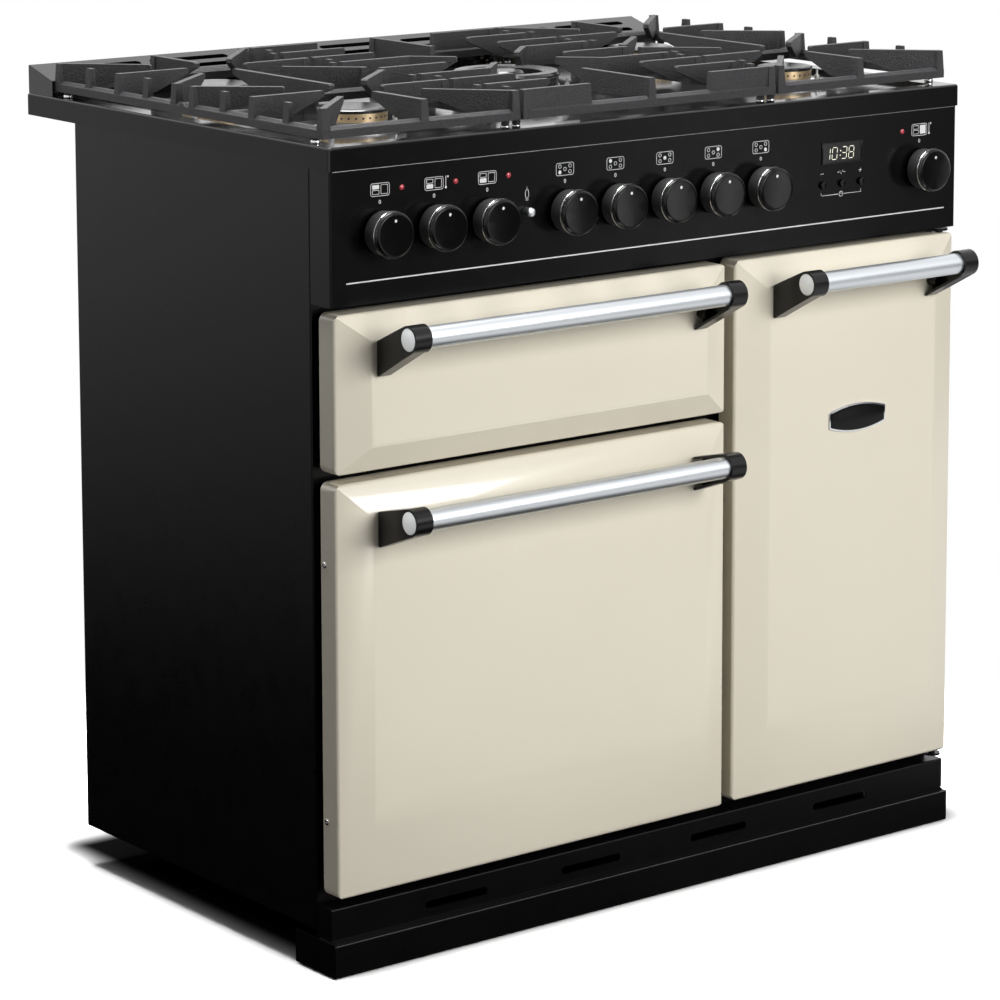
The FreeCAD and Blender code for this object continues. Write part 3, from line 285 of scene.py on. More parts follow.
def ovenEnamel():
    # vitreous enamel of an oven: near black with fine pale specks
    paint = Paint("oven_enamel", IOR=1.5, Coat_Weight=0.5, Coat_Roughness=0.12)
    tint = (0.9, 0.95, 1.1)
    speck = paint.noise(900.0, 1.0, 0.3)
    specks = paint.ramp(speck, (0.0, shade(0.035, tint)), (0.66, shade(0.045, tint)), (0.72, shade(0.3)))
    paint.feed(Base_Color=specks)
    paint.feed(Roughness=paint.level(paint.noise(25.0), 0.2, 0.34))
    paint.bump(paint.noise(220.0), 0.0002)
    return paint.material


def zincSheet():
    # galvanised steel with its crystals
    paint = Paint("zinc_sheet", Metallic=0.9)
    flakes = paint.add("ShaderNodeTexVoronoi", {}, {"Vector": paint.here, "Scale": 90.0}, "Color")
    tone = paint.add("ShaderNodeSeparateColor", {}, {"Color": flakes}, "Red")
    paint.feed(Base_Color=paint.mix(tone, shade(0.36), shade(0.62, (0.97, 1, 1.02))))
    paint.feed(Roughness=paint.level(tone, 0.34, 0.5))
    paint.bump(tone, 0.00005)
    return paint.material


def heatedRod():
    # sheathed element, browned in patches by its heat
    paint = Paint("heating_rod", Metallic=0.6)
    patches = paint.noise(18.0, 3.0)
    brown = shade(0.12, (1.2, 1.0, 0.85))
    blue = shade(0.2, (1.0, 1.0, 1.1))
    paint.feed(Base_Color=paint.ramp(patches, (0.2, brown), (0.7, blue)))
    paint.feed(Roughness=paint.level(patches, 0.45, 0.65))
    paint.bump(paint.noise(600.0), 0.0001)
    return paint.material


def rubber():
    # dull black seal
    paint = Paint("seal_rubber", IOR=1.45)
    paint.feed(Base_Color=paint.mix(paint.noise(40.0), shade(0.02), shade(0.035)))
    paint.feed(Roughness=paint.level(paint.noise(80.0), 0.62, 0.78))
    paint.bump(paint.noise(500.0), 0.0001)
    return paint.material


def printInk(name, colour, roughness=0.4):
    # screen-printed ink, slightly uneven in cover
    paint = Paint(name, IOR=1.45)
    cover = paint.noise(2500.0, 2.0)
    paint.feed(Base_Color=paint.mix(cover, dimmed(colour, 0.88), colour))
    paint.feed(Roughness=paint.level(cover, roughness - 0.05, roughness + 0.1))
    return paint.material


def lampGlow(name, colour, strength, dull):
    # lit window or lens under a clear gloss
    paint = Paint(name, IOR=1.5, Coat_Weight=1.0, Coat_Roughness=0.05, Emission_Strength=strength)
    glow = paint.noise(700.0, 2.0)
    paint.feed(Base_Color=paint.mix(glow, dull, colour), Emission_Color=paint.mix(glow, dull, colour))
    paint.feed(Roughness=paint.level(glow, 0.1, 0.2))
    return paint.material


creamLight = (0.80, 0.745, 0.615, 1.0)
creamDark = (0.765, 0.705, 0.575, 1.0)
finishes = {
    "charcoal_paint": powder("charcoal_paint", 0.003, 0.28, 0.00006, 0.2),
    "zinc_sheet": zincSheet(),
    "cream_enamel": enamel("cream_enamel", creamDark, creamLight, 0.3, 0.35, 0.00006),
    "seal_rubber": rubber(),
    "oven_enamel": ovenEnamel(),
    "heating_rod": heatedRod(),
    "chromed_wire": metal("chromed_wire", shade(0.72), 0.2, (60, 60, 60)),
    "hob_enamel": enamel("hob_enamel", shade(0.004), shade(0.008), 0.1, 0.0, 0.00004),
    "burner_aluminium": metal("burner_aluminium", shade(0.5), 0.38, (300, 300, 300), 0.12),
    "burner_brass": metal("burner_brass", (0.74, 0.56, 0.34, 1.0), 0.34, (300, 300, 1500), 0.12),
    "burner_enamel": moulded("burner_enamel", 0.008, 0.22, 0.0001, 500.0),
    "cast_iron": castIron(),
    "black_gloss": enamel("black_gloss", shade(0.0022), shade(0.0034), 0.2, 0.0, 0.00002, 0.17),
    "window_black": moulded("window_black", 0.004, 0.1, 0.00001),
    "chrome_trim": metal("chrome_trim", (0.72, 0.75, 0.78, 1.0), 0.33, (3, 1400, 1400), 0.1),
    "black_plastic": moulded("black_plastic", 0.004, 0.24, 0.00004, 900.0, 0.3),
    "knob_plastic": moulded("knob_plastic", 0.002, 0.11, 0.00001, 900.0, 0.3),
}
inkWhite = printInk("ink_white", shade(0.8))
inkSilver = printInk("ink_silver", shade(0.75), 0.3)
polished = metal("polished_trim", shade(0.8), 0.12, (200, 200, 200), 0.04)
neonRed = lampGlow("neon_red", (0.5, 0.02, 0.04, 1.0), 0.16, (0.3, 0.01, 0.02, 1.0))
digitGlow = lampGlow("digit_glow", (0.9, 0.88, 0.74, 1.0), 0.7, (0.66, 0.64, 0.52, 1.0))
# satin barrel of the knob moulding, with a paler base than the face as a painted sheen
knobSatinSheen = moulded("knob_satin_sheen", 0.042, 0.42, 0.00002, 900.0, 0.8)
ceramic = moulded("white_ceramic", 0.72, 0.3, 0.00002)
# pale metal for thin strips that are painted highlights along edges
edgeHighlightPaint = metal("painted_edge_highlight", (0.34, 0.35, 0.37, 1.0), 0.4, (3, 1400, 1400), 0.08)
silverCap = metal("silver_cap", (0.97, 0.99, 1.0, 1.0), 0.72, (600, 40, 600), 0.08)
print("materials", len(bpy.data.materials))

# the CAD nodes: smooth copies stand for those that show their facets
slotOf = {part["node"]: part["material_slot"] for part in frame["record"]["subparts"]}
bodyOf = {node: body for body, nodes in frame["record"]["behaviour"]["bodies"].items() for node in nodes}
for name, node in frame["nodes"].items():
    node.data.materials.clear()
    node.data.materials.append(finishes[slotOf[name]])


merging = {"weld": 0.02, "flat": 0.7, "weight": 50}


def smoothCopy(node, name, bevel=0.0, angle=30.0, limit=30.0, crisp=False):
    # bevel in millimetres, angle for round shading and limit for bevelled edges in degrees
    source = frame["nodes"][node]
    piece = source.copy()
    piece.data = source.data.copy()
    piece.parent = None
    bpy.context.scene.collection.objects.link(piece)
    for key in list(piece.keys()):
        del piece[key]  # the copy gets its own body and slot
    editing(piece, "VERT")
    bpy.ops.mesh.select_all(action="SELECT")
    bpy.ops.mesh.remove_doubles(threshold=merging["weld"] * mm)
    bpy.ops.mesh.customdata_custom_splitnormals_clear()
    if bevel or crisp:
        bpy.ops.mesh.dissolve_limited(angle_limit=math.radians(merging["flat"]))
    bpy.ops.object.mode_set(mode="OBJECT")
    if bevel:
        useModifier(piece, "BEVEL", width=bevel * mm, segments=2, limit_method="ANGLE",
                    angle_limit=math.radians(limit))
    finished(piece, name, bodyOf[node], finishes[slotOf[node]], angle)
    if bevel or crisp:
        # flat faces stay flat and the rounded edges take the turn
        useModifier(piece, "WEIGHTED_NORMAL", mode="FACE_AREA", weight=merging["weight"], keep_sharp=True)
    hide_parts(node)
    return piece


bpy.ops.object.select_all(action="DESELECT")
rounding = {"casting": 1.1, "moulding": 0.8, "panel": 0.7, "knob": 0.35}
for side in ("left", "middle", "right"):
    smoothCopy("pan_support_" + side, "pan_support_" + side + "_casting", rounding["casting"])
for door in ("grill", "main", "tall"):
    smoothCopy(door + "_door_panel", door + "_door_skin", angle=28, crisp=True)
    smoothCopy(door + "_door_handle_tube", door + "_door_handle_bar")
    smoothCopy(door + "_door_handle_brackets", door + "_door_handle_mouldings", rounding["moulding"])
hobShell = smoothCopy("hob_tray", "hob_shell", angle=32, crisp=True)
smoothCopy("plinth_kickboard", "kickboard_shell", angle=32, crisp=True)
smoothCopy("plinth_vent_bar", "vent_bar_shell", angle=32, crisp=True)
portRings = smoothCopy("burner_port_rings", "burner_port_rings_smooth", angle=32)
portRings.data.materials.append(finishes["burner_enamel"])
middleBurner = {"centre": at(0, 286.0, 0), "reach": 100.0}
for face in portRings.data.polygons:
    away = (face.center - middleBurner["centre"]).to_2d().length
    if away < middleBurner["reach"] * mm:
        face.material_index = 1  # the large middle burner is dark all over
panelShell = smoothCopy("control_panel", "panel_shell", rounding["panel"], 32, 50)
outerEdge = {"x": 440.0, "y": 10.0, "facing": 0.9}
for shell in (hobShell, panelShell):
    shell.data.materials.append(finishes["charcoal_paint"])
    shell.data.materials.append(finishes["black_gloss"])
    for face in shell.data.polygons:
        atEnd = abs(face.normal.x) > outerEdge["facing"] and abs(face.center.x) > outerEdge["x"] * mm
        atFront = face.normal.y < -outerEdge["facing"] and face.center.y < at(0, outerEdge["y"], 0).y
        if atEnd and shell == panelShell:
            face.material_index = 1  # the panel's ends are painted as the side panels are
        elif atEnd or atFront:
            face.material_index = 2  # the hob's rim is finished as the panel's front is
print("smooth copies done")


# simple forms that the small pieces are shaped from
def disc(centre, radius, depth, axis, vertices=32, bevel=0.0):
    turn = {"x": (0, quarter, 0), "y": (quarter, 0, 0), "z": (0, 0, 0)}[axis]
    bpy.ops.mesh.primitive_cylinder_add(vertices=vertices, radius=radius * mm, depth=depth * mm,
                                        location=at(*centre), rotation=turn)
    piece = placed(bpy.context.object)
    if bevel:
        useModifier(piece, "BEVEL", width=bevel * mm, segments=2, limit_method="ANGLE")
    return piece


def block(low, high, bevel=0.0):
    size = [(high[i] - low[i]) * mm for i in range(3)]
    middle = [(high[i] + low[i]) / 2 for i in range(3)]
    bpy.ops.mesh.primitive_cube_add(size=1, location=at(*middle))
    piece = bpy.context.object
    piece.scale = size
    placed(piece)
    if bevel:
        useModifier(piece, "BEVEL", width=bevel * mm, segments=2, limit_method="ANGLE")
    return piece


def ring(centre, radius, thick, axis, around=48, section=8):
    turn = {"x": (0, quarter, 0), "y": (quarter, 0, 0), "z": (0, 0, 0)}[axis]
    bpy.ops.mesh.primitive_torus_add(major_radius=radius * mm, minor_radius=thick * mm, major_segments=around,
                                     minor_segments=section, location=at(*centre), rotation=turn)
    return placed(bpy.context.object)


def lineWork(paths, width, y):
    # printed lines on the panel, from paths of (x, z) points; a path that ends where it starts is closed
    curve = bpy.data.curves.new("lines", "CURVE")
    curve.dimensions = "3D"
    curve.bevel_depth = width / 2 * mm
    curve.bevel_resolution = 1
    curve.use_fill_caps = True
    for path in paths:
        closed = path[0] == path[-1]
        points = path[:-1] if closed else path
        spline = curve.splines.new("POLY")
        spline.points.add(len(points) - 1)
        for point, (x, z) in zip(spline.points, points):
            point.co = (*at(x, y, z), 1)
        spline.use_cyclic_u = closed
    piece = bpy.data.objects.new("lines", curve)
    bpy.context.scene.collection.objects.link(piece)
    pick(piece)
    bpy.ops.object.convert(target="MESH")
    piece = bpy.context.object
    editing(piece, "VERT")
    bpy.ops.mesh.select_all(action="SELECT")
    bpy.ops.transform.resize(value=(1, 0.3, 1), center_override=at(0, y, 0))
    bpy.ops.object.mode_set(mode="OBJECT")
    return piece


def oval(x, z, rx, rz, steps=16):
    path = []
    for i in range(steps):
        a = 2 * math.pi * i / steps
        path.append((x + rx * math.cos(a), z + rz * math.sin(a)))
    return path + path[:1]


def roundBox(x0, x1, z0, z1, r, steps=3):
    path = []
    for cx, cz, start in ((x1 - r, z1 - r, 0), (x0 + r, z1 - r, 1), (x0 + r, z0 + r, 2), (x1 - r, z0 + r, 3)):
        for i in range(steps + 1):
            a = (start + i / steps) * quarter
            path.append((cx + r * math.cos(a), cz + r * math.sin(a)))
    return path + path[:1]


# knobs: a bright line round the barrel and a pointer dot on the face
knobs = {"z": 801.0, "face": -26.4, "turnToFace": -0.35, "line": -21.6, "lineRadius": 24.75,
         "lineThick": 0.42, "dot": 1.7, "dotThick": 0.5, "dotUp": 15.2, "dotBevel": 0.12}
knobX = {}
for name in frame["nodes"]:
    if name.startswith("knob_"):
        low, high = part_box(name)
        knobX[name] = (low[0] + high[0]) / 2 / mm
for name, x in knobX.items():
    moulding = smoothCopy(name, name + "_moulding", rounding["knob"], 40, 25)
    moulding.data.materials.append(knobSatinSheen)
    for face in moulding.data.polygons:
        if face.normal.y > knobs["turnToFace"]:
            face.material_index = 1  # the barrel is satin and paler than the face, a painted sheen for its highlight; the face is glossy
    dotCentre = (x, knobs["face"], knobs["z"] + knobs["dotUp"])
    dot = disc(dotCentre, knobs["dot"], knobs["dotThick"], "y", 20, knobs["dotBevel"])
    finished(dot, name + "_pointer_dot", bodyOf[name], inkWhite)
    line = ring((x, knobs["line"], knobs["z"]), knobs["lineRadius"], knobs["lineThick"], "y", 72, 8)
    finished(line, name + "_bright_line", bodyOf[name], polished)
print("knobs", len(knobX))

# control panel: a sign above each knob shows its oven or its burner
panel = {"face": 1.95, "row": 846.0, "zero": 833.0, "wide": 24.0, "high": 13.5, "pen": 0.62, "boldPen": 0.8,
         "corner": 2.4, "roomCorner": 0.5, "ring": 1.9, "ringFill": 2.0, "ink": 0.1,
         "inkProud": 0.05, "inkSunk": 0.04}
ovenMarks = {"grill": -396.0, "main_temperature": -326.0, "main_function": -255.5, "tall_temperature": 377.0}
ovenRooms = {"upper": (2.2, 10.6, 7.6, 11.6), "lower": (2.2, 10.6, 2.0, 6.2), "tall": (13.2, 21.8, 2.0, 11.6)}
ovenActive = {"grill": "upper", "main_temperature": "lower", "main_function": "lower",
              "tall_temperature": "tall"}
hobMarks = {"burner_front_left": -150.0, "burner_back_left": -79.6, "burner_middle": -9.2,
            "burner_back_right": 61.2, "burner_front_right": 131.6}
hobRings = {"burner_front_left": (5.0, 3.6), "burner_back_left": (5.0, 9.9), "burner_middle": (12.0, 6.75),
            "burner_back_right": (19.0, 9.9), "burner_front_right": (19.0, 3.6)}
bottom = panel["row"] - panel["high"] / 2


def signFrame(left):
    return roundBox(left, left + panel["wide"], bottom, bottom + panel["high"], panel["corner"])


def printed(paths, name, solids=(), pen=panel["pen"]):
    mark = joined([lineWork(paths, pen, panel["face"]), *solids], name)
    finished(mark, name, "cooker", inkWhite)


for knob, left in ovenMarks.items():
    paths = [signFrame(left)]
    for x0, x1, z0, z1 in ovenRooms.values():
        paths.append(roundBox(left + x0, left + x1, bottom + z0, bottom + z1, panel["roomCorner"], 2))
    x0, x1, z0, z1 = ovenRooms[ovenActive[knob]]
    low = (left + x0, panel["face"] - panel["inkProud"], bottom + z0)
    high = (left + x1, panel["face"] + panel["inkSunk"], bottom + z1)
    printed(paths, "symbol_" + knob, [block(low, high)])
for knob, left in hobMarks.items():
    paths = [signFrame(left)]
    for x, z in hobRings.values():
        paths.append(oval(left + x, bottom + z, panel["ring"], panel["ring"]))
    x, z = hobRings[knob]
    fill = disc((left + x, panel["face"], bottom + z), panel["ringFill"], panel["ink"], "y", 20)
    printed(paths, "symbol_" + knob, [fill])
zero = {"halfWide": 1.15, "halfHigh": 1.8}
zeroPaths = [oval(x, panel["zero"], zero["halfWide"], zero["halfHigh"]) for x in knobX.values()]
printed(zeroPaths, "zero_marks", pen=panel["boldPen"])

# a thermometer beside two of the oven signs, and a lamp over the light button
thermometer = {"x": (-298.5, 404.5), "foot": -4.5, "head": 7.0, "bulbZ": -5.2, "bulb": 1.3, "dotX": 2.6,
               "dotZ": 6.0, "dot": 0.8}
for number, x in enumerate(thermometer["x"]):
    stem = [(x, panel["row"] + thermometer["foot"]), (x, panel["row"] + thermometer["head"])]
    degree = oval(x + thermometer["dotX"], panel["row"] + thermometer["dotZ"], thermometer["dot"],
                  thermometer["dot"], 10)
    bulbCentre = (x, panel["face"], panel["row"] + thermometer["bulbZ"])
    bulb = disc(bulbCentre, thermometer["bulb"], panel["ink"], "y", 16)
    printed([stem, degree], "thermometer_mark_" + str(number + 1), [bulb], panel["boldPen"])
lampSign = {"x": -190.0, "z": 823.6, "halfWide": 2.4, "halfHigh": 5.0, "cap": 1.3, "capTop": 818.4,
            "capFoot": 816.6, "rayFoot": 829.6, "rayTop": 831.0}
capLeft = lampSign["x"] - lampSign["cap"]
capRight = lampSign["x"] + lampSign["cap"]
bulbCap = [(capLeft, lampSign["capTop"]), (capLeft, lampSign["capFoot"]), (capRight, lampSign["capFoot"]),
           (capRight, lampSign["capTop"])]
ray = [(lampSign["x"], lampSign["rayFoot"]), (lampSign["x"], lampSign["rayTop"])]
glass = oval(lampSign["x"], lampSign["z"], lampSign["halfWide"], lampSign["halfHigh"])
printed([glass, bulbCap, ray], "lamp_mark")

# a silver line along the panel's foot
trim = {"low": 749.8, "high": 751.2, "left": -428.0, "right": 430.0, "front": 1.75, "back": 2.2,
        "bevel": 0.08}
low = (trim["left"], trim["front"], trim["low"])
high = (trim["right"], trim["back"], trim["high"])
silver = block(low, high, trim["bevel"])
finished(silver, "panel_silver_line", "cooker", inkSilver)

# painted highlights: thin pale strips along the top of the panel and of the lower plinth, standing in for
# light caught on their rounded edges
edges = {"panel_top_edge": {"half": 444.5, "low": 868.8, "high": 869.4},
         "kickboard_top_edge": {"half": 447.0, "low": 37.2, "high": 37.8}}
highlightStripDepth = {"front": 1.85, "back": 2.3}
for name, edge in edges.items():
    low = (-edge["half"], highlightStripDepth["front"], edge["low"])
    high = (edge["half"], highlightStripDepth["back"], edge["high"])
    strip = block(low, high)
    finished(strip, name, "cooker", edgeHighlightPaint)

# neon lamps beside the oven signs
neon = {"x": (-356.0, -285.5, -215.0, 361.7), "y": 2.2, "z": 846.0, "radius": 3.1, "flat": 0.55}
for number, x in enumerate(neon["x"]):
    centre = at(x, neon["y"], neon["z"])
    bpy.ops.mesh.primitive_uv_sphere_add(segments=24, ring_count=12, radius=neon["radius"] * mm,
                                         location=centre, rotation=(quarter, 0, 0))
    lens = placed(bpy.context.object)
    editing(lens, "VERT")
    bpy.ops.mesh.select_all(action="SELECT")
    bpy.ops.transform.resize(value=(1, neon["flat"], 1), center_override=centre)
    bpy.ops.object.mode_set(mode="OBJECT")
    finished(lens, "neon_lamp_" + str(number + 1), "cooker", neonRed)

# clock: digits of seven bars each, a raised rim and the marks of its buttons
clock = {"left": 240.5, "base": 822.4, "face": 1.5, "tall": 13.6, "wide": 7.4, "pitch": 10.9, "bar": 0.95,
         "lean": 0.1, "shrink": 0.13, "places": (0.0, 1.0, 2.35, 3.35), "time": "1038", "colon": 2.12,
         "dotsUp": (4.2, 9.4), "dot": 0.8}
segments = {"top": (0, 2, 1, 2), "middle": (0, 1, 1, 1), "bottom": (0, 0, 1, 0), "upperLeft": (0, 1, 0, 2),
            "upperRight": (1, 1, 1, 2), "lowerLeft": (0, 0, 0, 1), "lowerRight": (1, 0, 1, 1)}
shapes = {"0": ("top", "bottom", "upperLeft", "upperRight", "lowerLeft", "lowerRight"),
          "1": ("upperRight", "lowerRight"), "2": ("top", "upperRight", "middle", "lowerLeft", "bottom"),
          "3": ("top", "upperRight", "middle", "lowerRight", "bottom"), "8": tuple(segments)}


def clockPoint(place, across, up):
    # across and up count from the digit's lower left corner, in its widths and half heights
    high = up * clock["tall"] / 2
    x = clock["left"] + place * clock["pitch"] + across * clock["wide"] + clock["lean"] * high
    return (x, clock["base"] + high)


def between(start, end, share):
    return tuple(first + (second - first) * share for first, second in zip(start, end))


bars = []
for place, digit in zip(clock["places"], clock["time"]):
    for key in shapes[digit]:
        x0, z0, x1, z1 = segments[key]
        start = clockPoint(place, x0, z0)
        end = clockPoint(place, x1, z1)
        bars.append([between(start, end, clock["shrink"]), between(end, start, clock["shrink"])])
pieces = [lineWork(bars, clock["bar"], clock["face"])]
for up in clock["dotsUp"]:
    colonX = clock["left"] + clock["colon"] * clock["pitch"] + 0.3 + clock["lean"] * up
    pieces.append(disc((colonX, clock["face"], clock["base"] + up), clock["dot"], panel["ink"], "y", 12))
finished(joined(pieces, "digits"), "clock_digits", "cooker", digitGlow)
rim = {"x0": 236.2, "x1": 298.2, "y0": 0.6, "y1": 2.4, "z0": 817.5, "z1": 842.5, "wall": 1.4, "lap": 0.4,
       "bevel": 0.3}
innerX = (rim["x0"] + rim["wall"], rim["x1"] - rim["wall"])
innerZ = (rim["z0"] + rim["wall"], rim["z1"] - rim["wall"])
sides = []
for x0, x1, z0, z1 in ((rim["x0"], rim["x1"], rim["z0"], innerZ[0]),
                       (rim["x0"], rim["x1"], innerZ[1], rim["z1"]),
                       (rim["x0"], innerX[0], rim["z0"] + rim["lap"], rim["z1"] - rim["lap"]),
                       (innerX[1], rim["x1"], rim["z0"] + rim["lap"], rim["z1"] - rim["lap"])):
    sides.append(block((x0, rim["y0"], z0), (x1, rim["y1"], z1), rim["bevel"]))
finished(joined(sides, "rim"), "clock_rim", "cooker", finishes["black_plastic"])
minusSign = [[(234.8, 807.0), (239.2, 807.0)]]
plusSign = [[(293.8, 807.0), (298.2, 807.0)], [(296.0, 804.8), (296.0, 809.2)]]
pulseSign = [[(260.5, 807.0), (263.0, 807.0), (264.5, 809.2), (266.5, 804.8), (268.5, 809.2), (270.0, 807.0),
              (272.5, 807.0)]]
linkLines = [[(236.0, 784.9), (236.0, 781.7), (262.6, 781.7)],
             [(270.4, 781.7), (297.0, 781.7), (297.0, 784.9)]]
dialSign = [oval(266.5, 781.7, 2.9, 2.9), [(266.5, 783.7), (266.5, 781.7), (268.0, 781.7)]]
printed(minusSign + plusSign + pulseSign + linkLines + dialSign, "clock_marks")
print("panel marks done")

# handles: a disc let into the outer side of each bracket
endCap = {"y": -71.0, "radius": 12.1, "thick": 0.9, "sunk": 0.75, "bevel": 0.3}
handles = {"grill": (-402.5, 49.5, 699.0), "main": (-402.5, 49.5, 505.5), "tall": (148.5, 402.5, 698.0)}
for door, (left, right, z) in handles.items():
    caps = []
    for x in (left + endCap["sunk"], right - endCap["sunk"]):
        caps.append(disc((x, endCap["y"], z), endCap["radius"], endCap["thick"], "x", 64, endCap["bevel"]))
    finished(joined(caps, "caps"), door + "_handle_end_caps", door + "_door", silverCap)
print("handles done")

# screws in the side wall of the main door and in the back panel
recess = {"long": 0.55, "wide": 0.12, "deep": 0.5}


def screw(centre, axis, radius, proud, outward):
    # pan head with a cross recess, whose arms are shares of the radius
    index = "xyz".index(axis)
    across = [k for k in range(3) if k != index]
    middle = list(centre)
    middle[index] += outward * proud / 2
    head = disc(middle, radius, proud, axis, 28, proud * 0.35)
    cuts = []
    for along in reversed(across):
        low = list(centre)
        low[index] += outward * proud
        high = list(low)
        for k in across:
            reach = radius * (recess["long"] if k == along else recess["wide"])
            low[k] -= reach
            high[k] += reach
        low[index] -= recess["deep"]
        high[index] += recess["deep"]
        cuts.append(block(low, high))
    for cut in cuts:
        useModifier(head, "BOOLEAN", operation="DIFFERENCE", object=cut, solver="EXACT")
    pick(*cuts)
    bpy.ops.object.delete()
    return head


doorScrew = {"x": -445.0, "y": 21.0, "z": (450.0, 170.0), "radius": 3.4, "proud": 1.2}
screws = []
for z in doorScrew["z"]:
    place = (doorScrew["x"], doorScrew["y"], z)
    screws.append(screw(place, "x", doorScrew["radius"], doorScrew["proud"], -1))
finished(joined(screws, "screws"), "main_door_side_screws", "main_door", polished)
backScrew = {"x": (-430.0, -215.0, 0.0, 215.0, 430.0), "y": 503.5, "z": (60.0, 856.0), "radius": 4.0,
             "proud": 1.4}
screws = []
for x in backScrew["x"]:
    for z in backScrew["z"]:
        place = (x, backScrew["y"], z)
        screws.append(screw(place, "y", backScrew["radius"], backScrew["proud"], 1))
finished(joined(screws, "screws"), "back_panel_screws", "cooker", polished)
print("screws done")

# plate on the tall oven door: upright ends, bowed top and bottom
plate = {"x": 280.2, "z": 521.5, "halfWide": 44.2, "halfEnd": 9.8, "halfMiddle": 17.0, "rim": 2.2,
         "endRim": 1.8, "rimFront": -15.5, "rimBack": -13.8, "rimBevel": 0.7, "fieldFront": -15.75,
         "fieldBack": -14.8, "fieldBevel": 0.4}


def barrelPlate(halfWide, halfEnd, halfMiddle, front, back, edge):
    x, z = plate["x"], plate["z"]
    piece = block((x - halfWide, front, z - 1), (x + halfWide, back, z + 1))
    editing(piece, "EDGE")
    bpy.ops.object.mode_set(mode="OBJECT")
    for line in piece.data.edges:
        first, second = (piece.data.vertices[i].co for i in line.vertices)
        line.select = abs(first.x - second.x) > mm  # the four that run along it
    bpy.ops.object.mode_set(mode="EDIT")
    bpy.ops.mesh.subdivide(number_cuts=23)
    bpy.ops.object.mode_set(mode="OBJECT")
    for vertex in piece.data.vertices:
        along = (vertex.co.x / mm - x) / halfWide
        high = halfEnd + (halfMiddle - halfEnd) * (1 - along * along)
        vertex.co.z = (z + high * (1 if vertex.co.z > z * mm else -1)) * mm
    useModifier(piece, "BEVEL", width=edge * mm, segments=3, limit_method="ANGLE",
                angle_limit=math.radians(40))
    return piece


rimPiece = barrelPlate(plate["halfWide"], plate["halfEnd"], plate["halfMiddle"], plate["rimFront"],
                       plate["rimBack"], plate["rimBevel"])
finished(rimPiece, "plate_rim", "tall_door", polished)
fieldPiece = barrelPlate(plate["halfWide"] - plate["rim"], plate["halfEnd"] - plate["endRim"],
                         plate["halfMiddle"] - plate["rim"], plate["fieldFront"], plate["fieldBack"],
                         plate["fieldBevel"])
finished(fieldPiece, "plate_field", "tall_door", finishes["black_gloss"])
print("plate done")

# burners: a row of dark discs round each ring, painted shade standing in for the open ports, and a glazed
# sleeve round each spark pin
port = {"radius": 1.15, "depth": 0.5}
burners = {
    "front_left": {"x": -312.0, "y": 152.0, "ports": 30, "portsRadius": 38.0, "portsZ": 904.2, "pin": 46.5},
    "back_left": {"x": -312.0, "y": 420.0, "ports": 30, "portsRadius": 38.5, "portsZ": 904.2, "pin": 47.0},
    "back_right": {"x": 312.0, "y": 420.0, "ports": 30, "portsRadius": 38.5, "portsZ": 904.2, "pin": 47.0},
    "front_right": {"x": 312.0, "y": 152.0, "ports": 26, "portsRadius": 31.5, "portsZ": 904.2, "pin": 40.0},
    "middle": {"x": 0.0, "y": 286.0, "ports": 48, "portsRadius": 61.0, "portsZ": 907.5, "pin": 73.0},
}
for name, burner in burners.items():
    portShades = []
    for i in range(burner["ports"]):
        angle = 2 * math.pi * i / burner["ports"]
        x = burner["x"] + burner["portsRadius"] * math.cos(angle)
        y = burner["y"] + burner["portsRadius"] * math.sin(angle)
        bpy.ops.mesh.primitive_cylinder_add(vertices=12, radius=port["radius"] * mm, depth=port["depth"] * mm,
                                            location=at(x, y, burner["portsZ"]), rotation=(0, quarter, angle))
        portShades.append(bpy.context.object)
    row = joined(portShades, "portShades")
    # the discs take the dull black seal rubber as painted shade
    finished(row, "burner_ports_" + name, "cooker", finishes["seal_rubber"])
sleeve = {"turn": math.radians(205), "radius": 3.35, "low": 889.6, "high": 905.4, "bevel": 0.7}
sleeves = []
for burner in burners.values():
    x = burner["x"] + burner["pin"] * math.cos(sleeve["turn"])
    y = burner["y"] + burner["pin"] * math.sin(sleeve["turn"])
    middle = (x, y, (sleeve["low"] + sleeve["high"]) / 2)
    sleeves.append(disc(middle, sleeve["radius"], sleeve["high"] - sleeve["low"], "z", 24, sleeve["bevel"]))
finished(joined(sleeves, "sleeves"), "spark_pin_sleeves", "cooker", ceramic)
print("burners done")

# bright studs under the feet of the pan supports
studs = {"radius": 5.4, "high": 3.4, "lift": 0.35, "bevel": 0.6, "rows": (39.5, 532.5), "rim": 895.0,
         "well": 890.0}
columns = {"left": (-439.0, -190.5), "middle": (-175.5, 175.5), "right": (190.5, 439.0)}
outermost = max(columns["right"])
for side, places in columns.items():
    feet = []
    for x in places:
        rest = studs["rim"] if abs(x) == outermost else studs["well"]
        middle = rest + studs["lift"] + studs["high"] / 2
        for y in studs["rows"]:
            feet.append(disc((x, y, middle), studs["radius"], studs["high"], "z", 28, studs["bevel"]))
    support = "pan_support_" + side
    finished(joined(feet, "studs"), support + "_studs", support, polished)
print("studs done")

